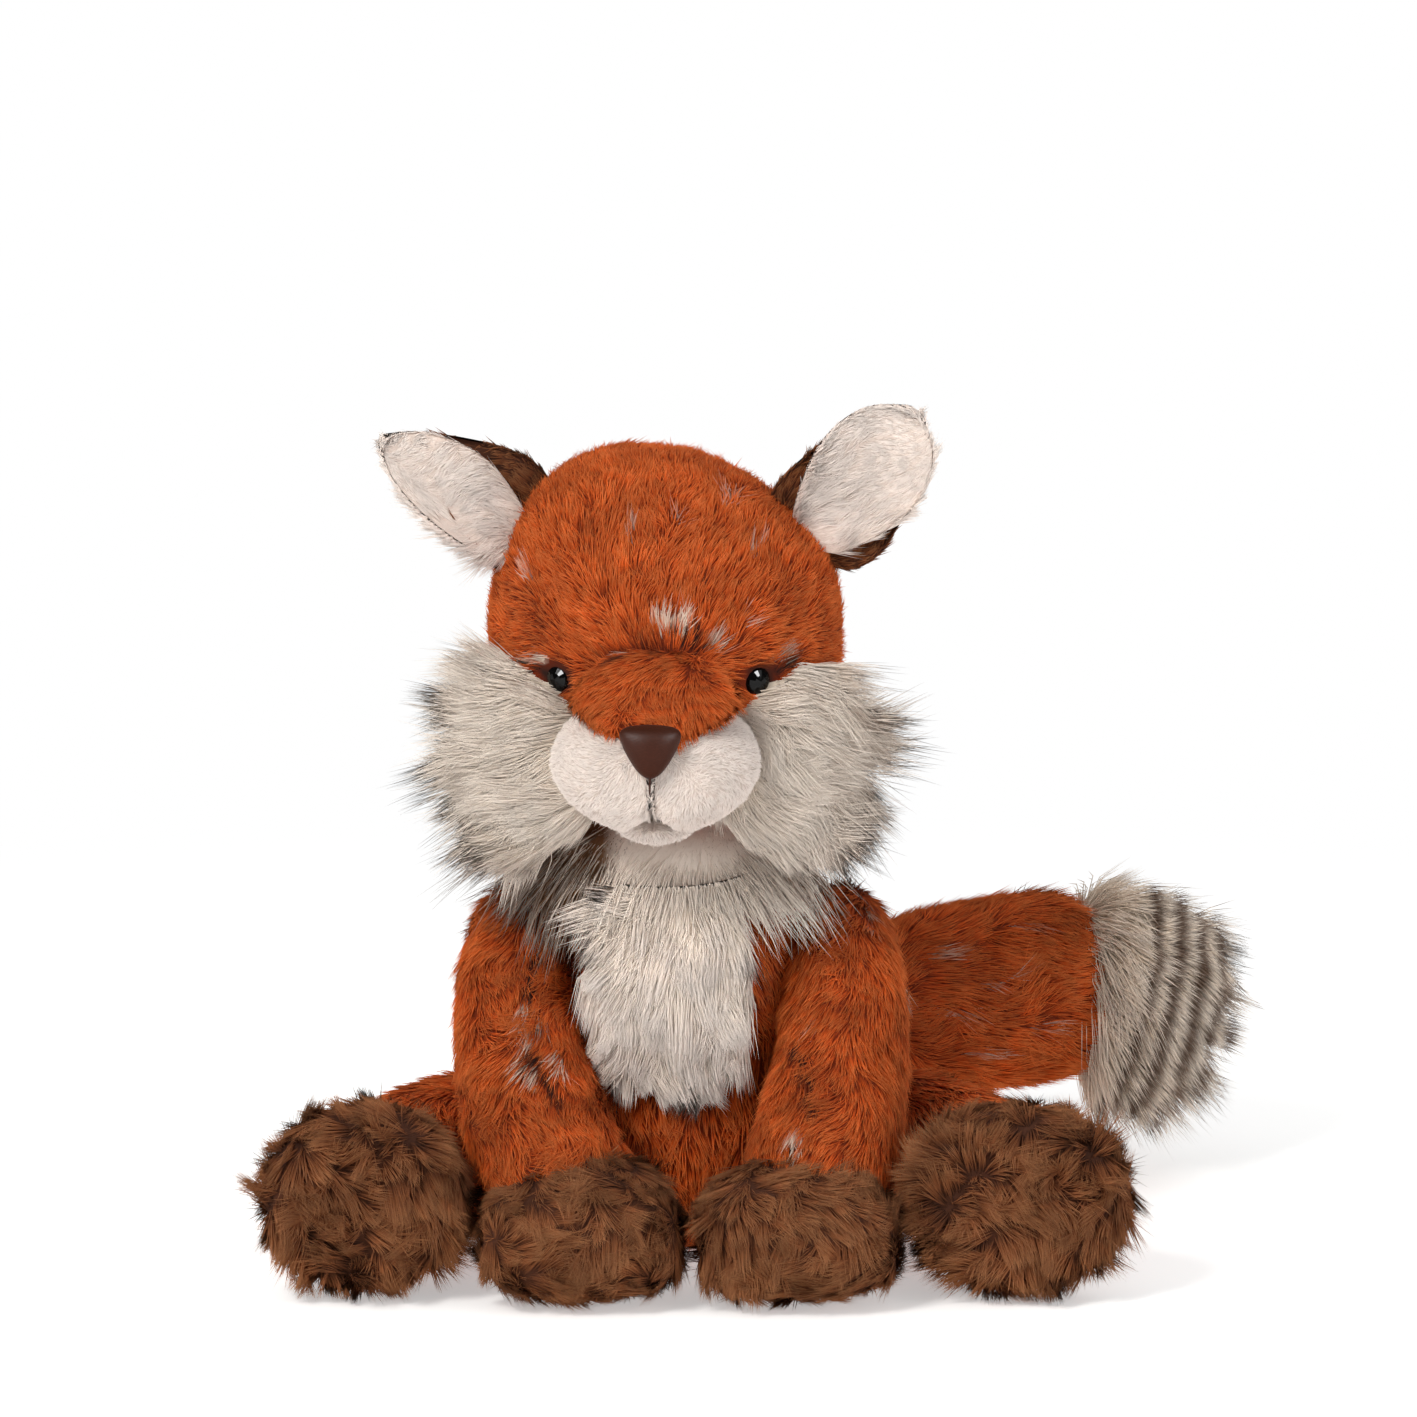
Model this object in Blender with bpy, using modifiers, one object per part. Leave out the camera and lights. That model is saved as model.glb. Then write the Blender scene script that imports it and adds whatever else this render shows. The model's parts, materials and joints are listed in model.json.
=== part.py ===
"""A sitting plush fox about 0.24 m tall, built as its separate sewn, stuffed and moulded pieces.

Metres, +Z up. The fox faces -Y, so its left side is +X. The origin is the middle of the flat
seat under the body. Each outer solid is as large as the tips of its fur. Where two pieces are
sewn together, the smaller one is cut by the larger one, a clearance apart. Every limb turns on a
ball that sits in a dimple of the body, as a sewn limb turns on its seam.
"""

import math

import bmesh
import bpy
from mathutils import Matrix, Vector

# Driving sizes of the sewing
CLEARANCE = 0.0004
CUT_OVERRUN = 0.02
FLOOR_CUT = 0.0005
PLUSH_WALL = 0.0065
MERGE_DISTANCE = 0.00001
SOCKET_CLEARANCE = 0.0001
BALL_FACETS = 20
TURNED_FACETS = 16
TRUNK_CORNERS = 10
LIMB_CORNERS = 8
NECK_BALL_STEPS = 6
EYE_DOME_STEPS = 4

# Driving sizes of the body
BODY_HEIGHT = 0.116
BODY_WIDTH = 0.094
BODY_DEPTH = 0.096
NECK_SEAM_HEIGHT = 0.101
BEAN_BAG_WIDTH = 0.054
BEAN_BAG_HEIGHT = 0.022
BEAN_BAG_MOUTH_RADIUS = 0.016
BIB_WIDTH = 0.046
BIB_THICKNESS = 0.022
BIB_TOP_BELOW_SEAM = 0.002
BIB_LENGTH = 0.064

# Driving sizes of the neck, which is a ball that the head turns on
NECK_BALL_RADIUS = 0.030
NECK_PIVOT_ABOVE_SEAM = 0.003
NECK_RUFF_RADIUS = 0.043
NECK_RUFF_FOOT_RADIUS = 0.024
NECK_RUFF_LIP = 0.013
NECK_RUFF_RISE = 0.007
NECK_RUFF_HOLLOW = 0.013
HEAD_SINK_ON_BALL = 0.010

# Driving sizes of the head
HEAD_WIDTH = 0.0965
HEAD_HEIGHT = 0.103
HEAD_DEPTH = 0.094
HEAD_FORWARD = 0.010
HEAD_SIDEWAYS = -0.002
HEAD_TURN = math.radians(-3.5)
MUZZLE_WIDTH = 0.057
MUZZLE_HEIGHT = 0.037
MUZZLE_REACH = 0.024
MUZZLE_ROOT = 0.020
BRIDGE_WIDTH = 0.053
BRIDGE_THICKNESS = 0.012
CHIN_WIDTH = 0.026
CHIN_HEIGHT = 0.012
CHIN_LENGTH = 0.024
NOSE_WIDTH = 0.0165
NOSE_HEIGHT = 0.0150
NOSE_THICKNESS = 0.0095
CHEEK_RUFF_HEIGHT = 0.054
CHEEK_RUFF_THICKNESS = 0.027
CHEEK_RUFF_REACH = 0.061

# Driving sizes of the eyes
EYE_RADIUS = 0.0045
EYE_DOME_HEIGHT = 0.0032
EYE_SPREAD = 0.058
EYE_POST_RADIUS = 0.0014
EYE_POST_LENGTH = 0.0085
EYE_PILE_DEPTH = 0.0040
EYE_PILE_RADIUS = 0.0062
WASHER_RADIUS = 0.0060
WASHER_THICKNESS = 0.0012
WASHER_GAP = 0.0016

# Driving sizes of the ears
EAR_LENGTH = 0.049
EAR_WIDTH = 0.034
EAR_THICKNESS = 0.0075
EAR_CUP = 0.0055
EAR_LINING_WIDTH = 0.027
EAR_LINING_LENGTH = 0.041
EAR_LINING_THICKNESS = 0.0055
EAR_ROOT_RADIUS = 0.0038
EAR_ROOT_LENGTH = 0.024
EAR_ROOT_SINK = 0.0006
EAR_FOLD = math.radians(25.0)
LEFT_EAR_LIFT = math.radians(52.0)
LEFT_EAR_TWIST = math.radians(4.0)
RIGHT_EAR_LIFT = math.radians(41.0)
RIGHT_EAR_TWIST = math.radians(-34.0)

# Driving sizes of the forelegs
SHOULDER_HEIGHT = 0.087
SHOULDER_FORWARD = 0.014
SHOULDER_RADIUS = 0.0190
SHOULDER_SINK = 0.014
FORELEG_WIDTH = 0.036
WRIST_WIDTH = 0.042
PAW_WIDTH = 0.056
PAW_HEIGHT = 0.040
PAW_LENGTH = 0.052
PAW_SPREAD = 0.060
PAW_FORWARD = 0.084

# Driving sizes of the hind legs
HIP_HEIGHT = 0.028
HIP_RADIUS = 0.0220
HIP_SINK = 0.018
HIP_BACKWARD = 0.006
HIND_LEG_RAISE = math.radians(20.0)
HIND_LEG_WIDTH = 0.039
ANKLE_WIDTH = 0.036
FOOT_WIDTH = 0.060
FOOT_HEIGHT = 0.057
FOOT_LENGTH = 0.041
FOOT_SPREAD = 0.184
FOOT_FORWARD = 0.074
SOLE_THICKNESS = 0.010

# Driving sizes of the tail
TAIL_ROOT_RADIUS = 0.0175
TAIL_ROOT_HEIGHT = 0.042
TAIL_ROOT_SIDEWAYS = 0.020
TAIL_ROOT_SINK = 0.004
TAIL_WIDTH = 0.053
TAIL_TIP_WIDTH = 0.066
TAIL_REACH = 0.094
TAIL_TIP_LENGTH = 0.042
TAIL_HEIGHT = 0.054
TAIL_BACKWARD = 0.042
TAIL_SWING = math.radians(108.0)

# Places along each form as shares of its own length, half sizes and offsets
BODY_SHARES = (
    # height, half width, half depth, sideways of the width, forward of the depth
    (0.000, 0.00, 0.00, 0.000, 0.000),
    (0.006, 0.60, 0.60, 0.000, 0.000),
    (0.130, 0.97, 0.97, 0.000, 0.000),
    (0.330, 1.03, 1.03, -0.004, 0.000),
    (0.560, 0.96, 0.94, -0.015, 0.030),
    (0.760, 0.82, 0.78, -0.032, 0.065),
    (0.920, 0.66, 0.58, -0.046, 0.095),
    (1.000, 0.40, 0.34, -0.050, 0.100),
    (1.010, 0.00, 0.00, -0.050, 0.100),
)
HEAD_SHARES = (
    # height, half width, half depth, sideways of the width, forward of the depth
    (0.000, 0.00, 0.00, 0.0, 0.10),
    (0.020, 0.58, 0.55, 0.0, 0.10),
    (0.170, 0.90, 0.88, 0.0, 0.05),
    (0.400, 1.04, 1.04, 0.0, 0.01),
    (0.600, 1.04, 1.04, 0.0, 0.00),
    (0.790, 0.87, 0.90, 0.0, -0.01),
    (0.930, 0.57, 0.62, 0.0, -0.02),
    (1.000, 0.28, 0.30, 0.0, -0.02),
    (1.010, 0.00, 0.00, 0.0, -0.02),
)
MUZZLE_SHARES = (
    # along the muzzle, half width, half height, drop of the height
    (0.00, 0.00, 0.00, 0.00),
    (0.05, 0.80, 0.80, 0.00),
    (0.38, 1.06, 1.06, 0.00),
    (0.70, 1.02, 1.00, 0.01),
    (0.93, 0.72, 0.76, 0.04),
    (1.01, 0.34, 0.42, 0.05),
    (1.02, 0.00, 0.00, 0.05),
)
BRIDGE_SHARES = (
    # along the bridge, half width, half thickness
    (0.00, 0.00, 0.00),
    (0.04, 0.80, 0.75),
    (0.32, 1.06, 1.10),
    (0.66, 0.72, 1.00),
    (0.95, 0.36, 0.70),
    (1.02, 0.00, 0.00),
)
CHIN_SHARES = (
    # along the chin, half width, half height
    (0.00, 0.00, 0.00),
    (0.10, 0.80, 0.80),
    (0.55, 1.10, 1.10),
    (0.92, 0.75, 0.80),
    (1.00, 0.00, 0.00),
)
NOSE_SHARES = (
    # up the nose, half width, half thickness
    (0.00, 0.00, 0.00),
    (0.06, 0.40, 0.62),
    (0.48, 0.86, 1.06),
    (0.80, 1.14, 1.06),
    (0.97, 0.78, 0.70),
    (1.02, 0.00, 0.00),
)
CHEEK_RUFF_SHARES = (
    # outwards, half height, half thickness, backward of the reach, drop of the height
    (0.00, 0.00, 0.00, 0.00, 0.00),
    (0.05, 0.62, 0.80, 0.02, 0.00),
    (0.35, 1.02, 1.05, 0.08, 0.02),
    (0.65, 1.05, 0.95, 0.20, 0.04),
    (0.92, 0.70, 0.60, 0.34, 0.08),
    (1.02, 0.00, 0.00, 0.40, 0.10),
)
EAR_SHARES = (
    # up the ear, half width, half thickness, cup
    (0.00, 0.00, 0.00, 0.00),
    (0.02, 0.74, 0.82, 0.00),
    (0.20, 0.96, 1.00, 0.55),
    (0.48, 1.08, 1.00, 1.05),
    (0.76, 0.86, 0.90, 0.85),
    (0.96, 0.42, 0.62, 0.45),
    (1.02, 0.00, 0.00, 0.30),
)
FORELEG_SHARES = (
    # along the leg, half width as a mix from foreleg (0) to wrist (1), swell, bow of the width
    (0.00, 0.0, 0.00, 0.00),
    (0.03, 0.0, 0.72, 0.00),
    (0.22, 0.0, 1.05, 0.05),
    (0.48, 0.3, 1.04, 0.12),
    (0.74, 0.8, 1.05, 0.10),
    (0.97, 1.0, 0.90, 0.02),
    (1.00, 1.0, 0.00, 0.00),
)
PAW_SHARES = (
    # along the paw, half width, half height
    (0.00, 0.00, 0.00),
    (0.03, 0.62, 0.66),
    (0.28, 1.00, 0.99),
    (0.62, 1.07, 1.07),
    (0.90, 0.84, 0.84),
    (1.00, 0.46, 0.46),
    (1.01, 0.00, 0.00),
)
HIND_LEG_SHARES = (
    # along the leg, half width as a mix from leg (0) to ankle (1), swell, bow of the width
    (0.00, 0.0, 0.00, 0.00),
    (0.03, 0.0, 0.75, 0.00),
    (0.30, 0.2, 1.08, 0.10),
    (0.65, 0.7, 1.05, 0.10),
    (0.96, 1.0, 0.92, 0.00),
    (1.00, 1.0, 0.00, 0.00),
)
FOOT_SHARES = (
    # along the foot, half width, half height
    (0.00, 0.00, 0.00),
    (0.02, 0.66, 0.66),
    (0.30, 1.03, 1.03),
    (0.68, 1.07, 1.07),
    (0.94, 0.90, 0.90),
    (1.01, 0.55, 0.55),
    (1.02, 0.00, 0.00),
)
TAIL_SHARES = (
    # along the tail, half width as a mix from root (0) to tail (1), swell
    (0.00, 0.0, 0.00),
    (0.03, 0.0, 0.85),
    (0.25, 0.5, 1.00),
    (0.50, 0.9, 1.03),
    (0.75, 1.0, 1.05),
    (1.00, 1.0, 1.02),
    (1.06, 1.0, 0.00),
)
TAIL_TIP_SHARES = (
    # along the tip, half width, drop of the width
    (0.00, 0.00, 0.00),
    (0.01, 0.78, 0.00),
    (0.25, 1.05, 0.00),
    (0.58, 1.08, 0.02),
    (0.88, 0.78, 0.05),
    (1.02, 0.00, 0.08),
)
BIB_SHARES = (
    # down the bib, half width, half thickness
    (0.00, 0.00, 0.00),
    (0.02, 0.60, 0.62),
    (0.22, 0.98, 1.00),
    (0.50, 1.08, 1.05),
    (0.76, 0.88, 0.92),
    (0.96, 0.40, 0.55),
    (1.02, 0.00, 0.00),
)
BEAN_BAG_SHARES = (
    # up the bag, half width
    (0.00, 0.00),
    (0.06, 0.80),
    (0.50, 1.10),
    (0.94, 0.80),
    (1.00, 0.00),
)
NECK_RUFF_LIP_SHARES = ((0.93, 0.0), (1.0, 0.35), (0.98, 0.75), (0.90, 1.0))
MUZZLE_HEIGHT_SHARE = 0.225
BRIDGE_TOP_SHARE = 0.505
BRIDGE_NOSE_SHARE = 0.345
BRIDGE_TOP_FORWARD_SHARE = 0.80
CHIN_HEIGHT_SHARE = 0.070
CHIN_FORWARD_SHARE = 0.66
NOSE_HEIGHT_SHARE = 0.315
NOSE_FORWARD_SHARE = 0.20
EYE_HEIGHT_SHARE = 0.445
CHEEK_RUFF_HEIGHT_SHARE = 0.250
CHEEK_RUFF_START_SHARE = 0.52
CHEEK_RUFF_FORWARD_SHARE = 0.62
LINING_FORWARD_SHARE = 0.62
LINING_START_SHARE = 0.10
EAR_HEIGHT_SHARE = 0.775
KNEE_OUTWARD_SHARE = 1.10
KNEE_FORWARD_SHARE = 0.14
TAIL_BEND_SIDEWAYS_SHARE = 0.45
TAIL_BEND_BACKWARD_SHARE = 0.65

RUST_COLOUR = (0.42, 0.085, 0.015, 1.0)
BROWN_COLOUR = (0.13, 0.062, 0.036, 1.0)
CREAM_COLOUR = (0.80, 0.76, 0.70, 1.0)
WHITE_COLOUR = (0.86, 0.84, 0.82, 1.0)
GREY_COLOUR = (0.38, 0.34, 0.29, 1.0)
STRIPE_COLOUR = (0.45, 0.41, 0.36, 1.0)
NOSE_COLOUR = (0.045, 0.018, 0.014, 1.0)
EYE_COLOUR = (0.004, 0.004, 0.004, 1.0)
WASHER_COLOUR = (0.75, 0.75, 0.73, 1.0)
FIBRE_COLOUR = (0.90, 0.90, 0.90, 1.0)
COTTON_COLOUR = (0.62, 0.58, 0.50, 1.0)
PLUSH_ROUGHNESS = 0.95
SATIN_ROUGHNESS = 0.55
GLOSS_ROUGHNESS = 0.12

UP = Vector((0.0, 0.0, 1.0))
FORWARD = Vector((0.0, -1.0, 0.0))
LEFT = Vector((1.0, 0.0, 0.0))


def clear_scene():
    """Removes whatever the scene holds."""
    for obj in list(bpy.data.objects):
        bpy.data.objects.remove(obj)
    for group in list(bpy.data.collections):
        bpy.data.collections.remove(group)


def new_collection(name):
    """Makes a collection under the scene."""
    group = bpy.data.collections.new(name)
    bpy.context.scene.collection.children.link(group)
    return group


def surface(name, colour, roughness):
    """A plain Principled material."""
    material = bpy.data.materials.new(name)
    material.use_nodes = True
    shader = material.node_tree.nodes["Principled BSDF"]
    shader.inputs["Base Color"].default_value = colour
    shader.inputs["Roughness"].default_value = roughness
    shader.inputs["Metallic"].default_value = 0.0
    material.diffuse_color = colour
    return material


def rust_plush(name):
    """The short rust pile of the back, the head, the legs and the tail."""
    return surface(f"rust_plush_{name}", RUST_COLOUR, PLUSH_ROUGHNESS)


def brown_plush(name):
    """The brown pile of the ears' backs, the paws and the feet."""
    return surface(f"brown_plush_{name}", BROWN_COLOUR, PLUSH_ROUGHNESS)


def white_plush(name):
    """The short white pile of the muzzle, the chin and the ears' fronts."""
    return surface(f"white_plush_{name}", WHITE_COLOUR, PLUSH_ROUGHNESS)


def fibre(name):
    """Loose polyester filling."""
    return surface(f"polyester_fibre_{name}", FIBRE_COLOUR, PLUSH_ROUGHNESS)


class Workshop:
    """Holds the collections and makes the objects, each by its name."""

    def __init__(self):
        self.parts = new_collection("plush_fox")
        self.cutters = new_collection("cutters")

    def empty(self, name, place, turn=None, parent=None):
        """A joint's own frame, at its axis."""
        frame = bpy.data.objects.new(name, None)
        frame.matrix_basis = Matrix.Translation(place) @ (turn or Matrix.Identity(4))
        frame.parent = parent
        self.parts.objects.link(frame)
        return frame

    def part(self, name, mesh, material, parent=None):
        """One named piece with its own material."""
        mesh.materials.append(material)
        obj = bpy.data.objects.new(name, mesh)
        obj.parent = parent
        self.parts.objects.link(obj)
        return obj

    def cutter(self, name, mesh, parent=None):
        """A guide that only cuts or joins."""
        obj = bpy.data.objects.new(name, mesh)
        obj.parent = parent
        obj.hide_render = True
        obj.display_type = "WIRE"
        self.cutters.objects.link(obj)
        return obj

    def swung(self, room, frame, angle, axis, name):
        """A copy of a cutter, turned by an angle about one of a frame's own axes."""
        bpy.context.view_layer.update()
        turn = Matrix.Rotation(angle, 4, axis)
        obj = self.cutter(name, room.data.copy())
        place = frame.matrix_world
        obj.matrix_basis = place @ turn @ place.inverted() @ room.matrix_world
        smooth_form(obj)
        offset_surface(obj, CLEARANCE)
        return obj

    def grown(self, source, amount, name, as_part=None):
        """A copy of a form's own shape, moved outwards by amount, or inwards where it is negative."""
        if as_part:
            obj = self.part(name, source.data.copy(), as_part, source.parent)
            obj.data.materials.clear()
            obj.data.materials.append(as_part)
        else:
            obj = self.cutter(name, source.data.copy(), source.parent)
        for modifier in source.modifiers:
            if modifier.type == "SUBSURF":
                smooth_form(obj)
            elif modifier.type == "SCREW":
                turn_profile(obj)
        offset_surface(obj, amount)
        return obj


def offset_surface(obj, amount):
    """Moves a form's surface outwards by an amount, or inwards where it is negative."""
    move = obj.modifiers.new("offset", "DISPLACE")
    move.mid_level = 0.0
    move.strength = amount


def smooth_form(obj):
    """One level of Subdivision Surface on a coarse cage."""
    smooth = obj.modifiers.new("smooth", "SUBSURF")
    smooth.levels = 1
    smooth.render_levels = 1


def turn_profile(obj):
    """A full turn of a profile about its own Z axis."""
    turn = obj.modifiers.new("turn", "SCREW")
    turn.steps = TURNED_FACETS
    turn.render_steps = TURNED_FACETS
    turn.use_merge_vertices = True
    turn.merge_threshold = MERGE_DISTANCE
    turn.use_smooth_shade = True


def boolean(target, tool, operation):
    """A live Boolean with the exact solver."""
    step = target.modifiers.new(f"{operation.lower()} {tool.name}", "BOOLEAN")
    step.operation = operation
    step.object = tool
    step.solver = "EXACT"


def cut(target, *tools):
    """Takes each tool's volume away from the target."""
    for tool in tools:
        boolean(target, tool, "DIFFERENCE")


def form_cage(name, stations, around, side=LEFT):
    """A closed coarse cage: a UV sphere whose rings are carried to stations along a path.

    A station is (centre, half size along side, half size across it, cup). The first and last are
    the poles. Each ring stands square to the path. Its cage is a little larger than the section,
    by as much as Subdivision Surface draws a ring of that many corners in. A cup carries a ring's
    two side edges forward, by the square of how far out they are.
    """
    bm = bmesh.new()
    rings = len(stations) - 1
    bmesh.ops.create_uvsphere(bm, u_segments=around, v_segments=rings, radius=1.0)
    swell = 3.0 / (2.0 + math.cos(2.0 * math.pi / around))
    centres = [station[0] for station in stations]
    for vert in bm.verts:
        polar = math.acos(max(-1.0, min(1.0, vert.co.z)))
        ring = round(polar / math.pi * rings)
        angle = math.atan2(vert.co.y, vert.co.x)
        centre, half_side, half_across, cup = stations[ring]
        ahead = centres[min(ring + 1, rings)] - centres[max(ring - 1, 0)]
        ahead.normalize()
        across = side.cross(ahead).normalized()
        beside = ahead.cross(across)
        reach = math.cos(angle)
        vert.co = (
            centre
            + beside * (half_side * swell * reach)
            + across * (half_across * swell * math.sin(angle) + cup * reach * reach)
        )
    if bm.calc_volume(signed=True) < 0.0:
        bmesh.ops.reverse_faces(bm, faces=bm.faces)
    return finished_mesh(bm, name)


def finished_mesh(bm, name):
    """Writes a bmesh to a smooth-shaded mesh."""
    mesh = bpy.data.meshes.new(name)
    bm.to_mesh(mesh)
    bm.free()
    mesh.shade_smooth()
    return mesh


def box_mesh(name, low, high):
    """A box between two corners."""
    bm = bmesh.new()
    bmesh.ops.create_cube(bm, size=1.0)
    size = high - low
    middle = (high + low) / 2.0
    for vert in bm.verts:
        vert.co = Vector(a * b for a, b in zip(vert.co, size)) + middle
    return finished_mesh(bm, name)


def socket_radius(radius):
    """The radius of a faceted hollow whose flats clear a ball that turns in it."""
    return (radius + SOCKET_CLEARANCE) / math.cos(math.pi / BALL_FACETS) ** 2


def ball_mesh(name, place, radius):
    """A ball of flat facets."""
    bm = bmesh.new()
    bmesh.ops.create_uvsphere(
        bm, u_segments=BALL_FACETS, v_segments=BALL_FACETS // 2, radius=radius
    )
    bmesh.ops.translate(bm, verts=bm.verts, vec=place)
    return finished_mesh(bm, name)


def rod_mesh(name, start, end, radius):
    """A round rod from one point to another."""
    run = end - start
    bm = bmesh.new()
    bmesh.ops.create_cone(
        bm,
        cap_ends=True,
        segments=TURNED_FACETS,
        radius1=radius,
        radius2=radius,
        depth=run.length,
    )
    turn = UP.rotation_difference(run).to_matrix().to_4x4()
    place = Matrix.Translation((start + end) / 2.0)
    bmesh.ops.transform(bm, matrix=place @ turn, verts=bm.verts)
    return finished_mesh(bm, name)


def profile_mesh(name, points, closed=False):
    """An outline of (radius, height) points in the XZ plane, for a Screw."""
    bm = bmesh.new()
    verts = [bm.verts.new((radius, 0.0, height)) for radius, height in points]
    pairs = list(zip(verts, verts[1:]))
    if closed:
        pairs.append((verts[-1], verts[0]))
    for first, second in pairs:
        bm.edges.new((first, second))
    return finished_mesh(bm, name)


def smoothed(shares):
    """A share table as Subdivision Surface leaves it: each row is drawn a third to its neighbours."""
    rows = [shares[0]]
    for before, row, after in zip(shares, shares[1:], shares[2:]):
        rows.append(tuple((a + 4.0 * b + c) / 6.0 for a, b, c in zip(before, row, after)))
    rows.append(shares[-1])
    return rows


def share_at(shares, along, column):
    """Reads a column of a smoothed share table at a share of the form's length."""
    rows = smoothed(shares)
    for low, high in zip(rows, rows[1:]):
        if low[0] <= along <= high[0]:
            mix = (along - low[0]) / (high[0] - low[0])
            return low[column] * (1.0 - mix) + high[column] * mix
    return shares[-1][column]


def standing_stations(shares, foot, width, depth, height):
    """Stations of an upright form from its share table and the place of its foot."""
    stations = []
    for up, half_width, half_depth, sideways, forward in shares:
        centre = foot + LEFT * (sideways * width) + FORWARD * (forward * depth) + UP * (up * height)
        stations.append((centre, half_width * width / 2.0, half_depth * depth / 2.0, 0.0))
    return stations


def bent_path(start, bend, end, along):
    """A point on the smooth curve from start to end that bend pulls aside."""
    back = 1.0 - along
    return start * (back * back) + bend * (2.0 * back * along) + end * (along * along)


def body_half_width(height):
    """The body's half width at a height above the floor."""
    return share_at(BODY_SHARES, height / BODY_HEIGHT, 1) * BODY_WIDTH / 2.0


def body_middle(height):
    """The middle of the body at a height above the floor."""
    up = height / BODY_HEIGHT
    sideways = share_at(BODY_SHARES, up, 3) * BODY_WIDTH
    forward = share_at(BODY_SHARES, up, 4) * BODY_DEPTH
    return LEFT * sideways + FORWARD * forward + UP * height


def body_half_depth(height):
    """The body's half depth at a height above the floor."""
    return share_at(BODY_SHARES, height / BODY_HEIGHT, 2) * BODY_DEPTH / 2.0


def floor_cutter(shop):
    """A slab whose top is the floor. It cuts each form that stands on it flat."""
    reach = BODY_WIDTH + FOOT_SPREAD
    low = Vector((-reach, -reach, -CUT_OVERRUN - FLOOR_CUT))
    high = Vector((reach, reach, 0.0))
    return shop.cutter("floor", box_mesh("floor", low, high))


def make_body(shop):
    """The pear-shaped cover, its fibre filling and the bean bag that weights the seat."""
    foot = UP * -FLOOR_CUT
    stations = standing_stations(BODY_SHARES, foot, BODY_WIDTH, BODY_DEPTH, BODY_HEIGHT)
    cage = form_cage("body_cover", stations, TRUNK_CORNERS)
    cover = shop.part("body_cover", cage, rust_plush("body"))
    smooth_form(cover)
    cavity = shop.grown(cover, -PLUSH_WALL, "body_cavity")
    filling = shop.grown(cover, -PLUSH_WALL - CLEARANCE, "body_filling", fibre("body"))
    bag = make_bean_bag(shop)
    cut(cover, cavity)
    top = UP * (BEAN_BAG_HEIGHT / 2.0)
    mouth = rod_mesh("mouth", top, UP * CLEARANCE, BEAN_BAG_MOUTH_RADIUS)
    cut(filling, shop.grown(bag, CLEARANCE, "bean_bag_room"), shop.cutter("bean_bag_mouth", mouth))
    return cover, filling


def neck_cutter(shop):
    """A block that cuts the body level at the neck's seam."""
    low = Vector((-BODY_WIDTH, -BODY_WIDTH, NECK_SEAM_HEIGHT))
    high = Vector((BODY_WIDTH, BODY_WIDTH, NECK_SEAM_HEIGHT + BODY_HEIGHT))
    return shop.cutter("neck_cut", box_mesh("neck_cut", low, high))


def make_bean_bag(shop):
    """A flat bag of plastic beans on the bottom of the body's cavity."""
    bottom = PLUSH_WALL - FLOOR_CUT + CLEARANCE / 2.0
    stations = []
    for up, half_width in BEAN_BAG_SHARES:
        centre = UP * (bottom + up * BEAN_BAG_HEIGHT)
        half = half_width * BEAN_BAG_WIDTH / 2.0
        stations.append((centre, half, half, 0.0))
    material = surface("cotton_bag", COTTON_COLOUR, PLUSH_ROUGHNESS)
    bag = shop.part("seat_bean_bag", form_cage("seat_bean_bag", stations, LIMB_CORNERS), material)
    smooth_form(bag)
    return bag


def make_bib(shop, body_room):
    """The long-piled cream panel down the chest, which follows the body's front."""
    top = NECK_SEAM_HEIGHT - BIB_TOP_BELOW_SEAM
    stations = []
    for down, half_width, half_thickness in BIB_SHARES:
        height = top - down * BIB_LENGTH
        centre = body_middle(height) + FORWARD * body_half_depth(height)
        half = half_thickness * BIB_THICKNESS / 2.0
        stations.append((centre, half_width * BIB_WIDTH / 2.0, half, 0.0))
    material = surface("cream_long_pile", CREAM_COLOUR, PLUSH_ROUGHNESS)
    bib = shop.part("bib", form_cage("bib", stations, LIMB_CORNERS), material)
    smooth_form(bib)
    cut(bib, body_room)
    return bib


def neck_pivot():
    """The middle of the ball that the head turns on."""
    middle = body_middle(NECK_SEAM_HEIGHT)
    return middle + UP * NECK_PIVOT_ABOVE_SEAM + LEFT * HEAD_SIDEWAYS


def make_neck_ruff(shop, pivot):
    """The frosted fur ring round the neck, turned about the neck's axis, with the ball on top."""
    bottom = CLEARANCE - NECK_PIVOT_ABOVE_SEAM
    outline = []
    lowest = math.asin((bottom + NECK_RUFF_HOLLOW) / NECK_BALL_RADIUS)
    for step in range(NECK_BALL_STEPS + 1):
        angle = math.pi / 2.0 + (lowest - math.pi / 2.0) * step / NECK_BALL_STEPS
        outline.append((NECK_BALL_RADIUS * math.cos(angle), NECK_BALL_RADIUS * math.sin(angle)))
    for out, up in reversed(NECK_RUFF_LIP_SHARES):
        outline.append((out * NECK_RUFF_RADIUS, bottom + NECK_RUFF_RISE + up * NECK_RUFF_LIP))
    outline.append((NECK_RUFF_FOOT_RADIUS, bottom))
    outline.append((0.0, bottom))
    material = surface("frosted_long_pile", GREY_COLOUR, PLUSH_ROUGHNESS)
    ruff = shop.part("neck_ruff", profile_mesh("neck_ruff", outline), material, pivot)
    turn_profile(ruff)
    return ruff


def head_foot():
    """The lowest point of the head in the head's own frame, whose origin is the neck's pivot."""
    return UP * (NECK_BALL_RADIUS - HEAD_SINK_ON_BALL) + FORWARD * HEAD_FORWARD


def head_point(up_share):
    """The middle of the head at a share of its height."""
    forward = share_at(HEAD_SHARES, up_share, 4) * HEAD_DEPTH
    return head_foot() + FORWARD * forward + UP * (up_share * HEAD_HEIGHT)


def head_half(up_share, column, size):
    """The head's half width or half depth at a share of its height."""
    return share_at(HEAD_SHARES, up_share, column) * size / 2.0


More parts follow.
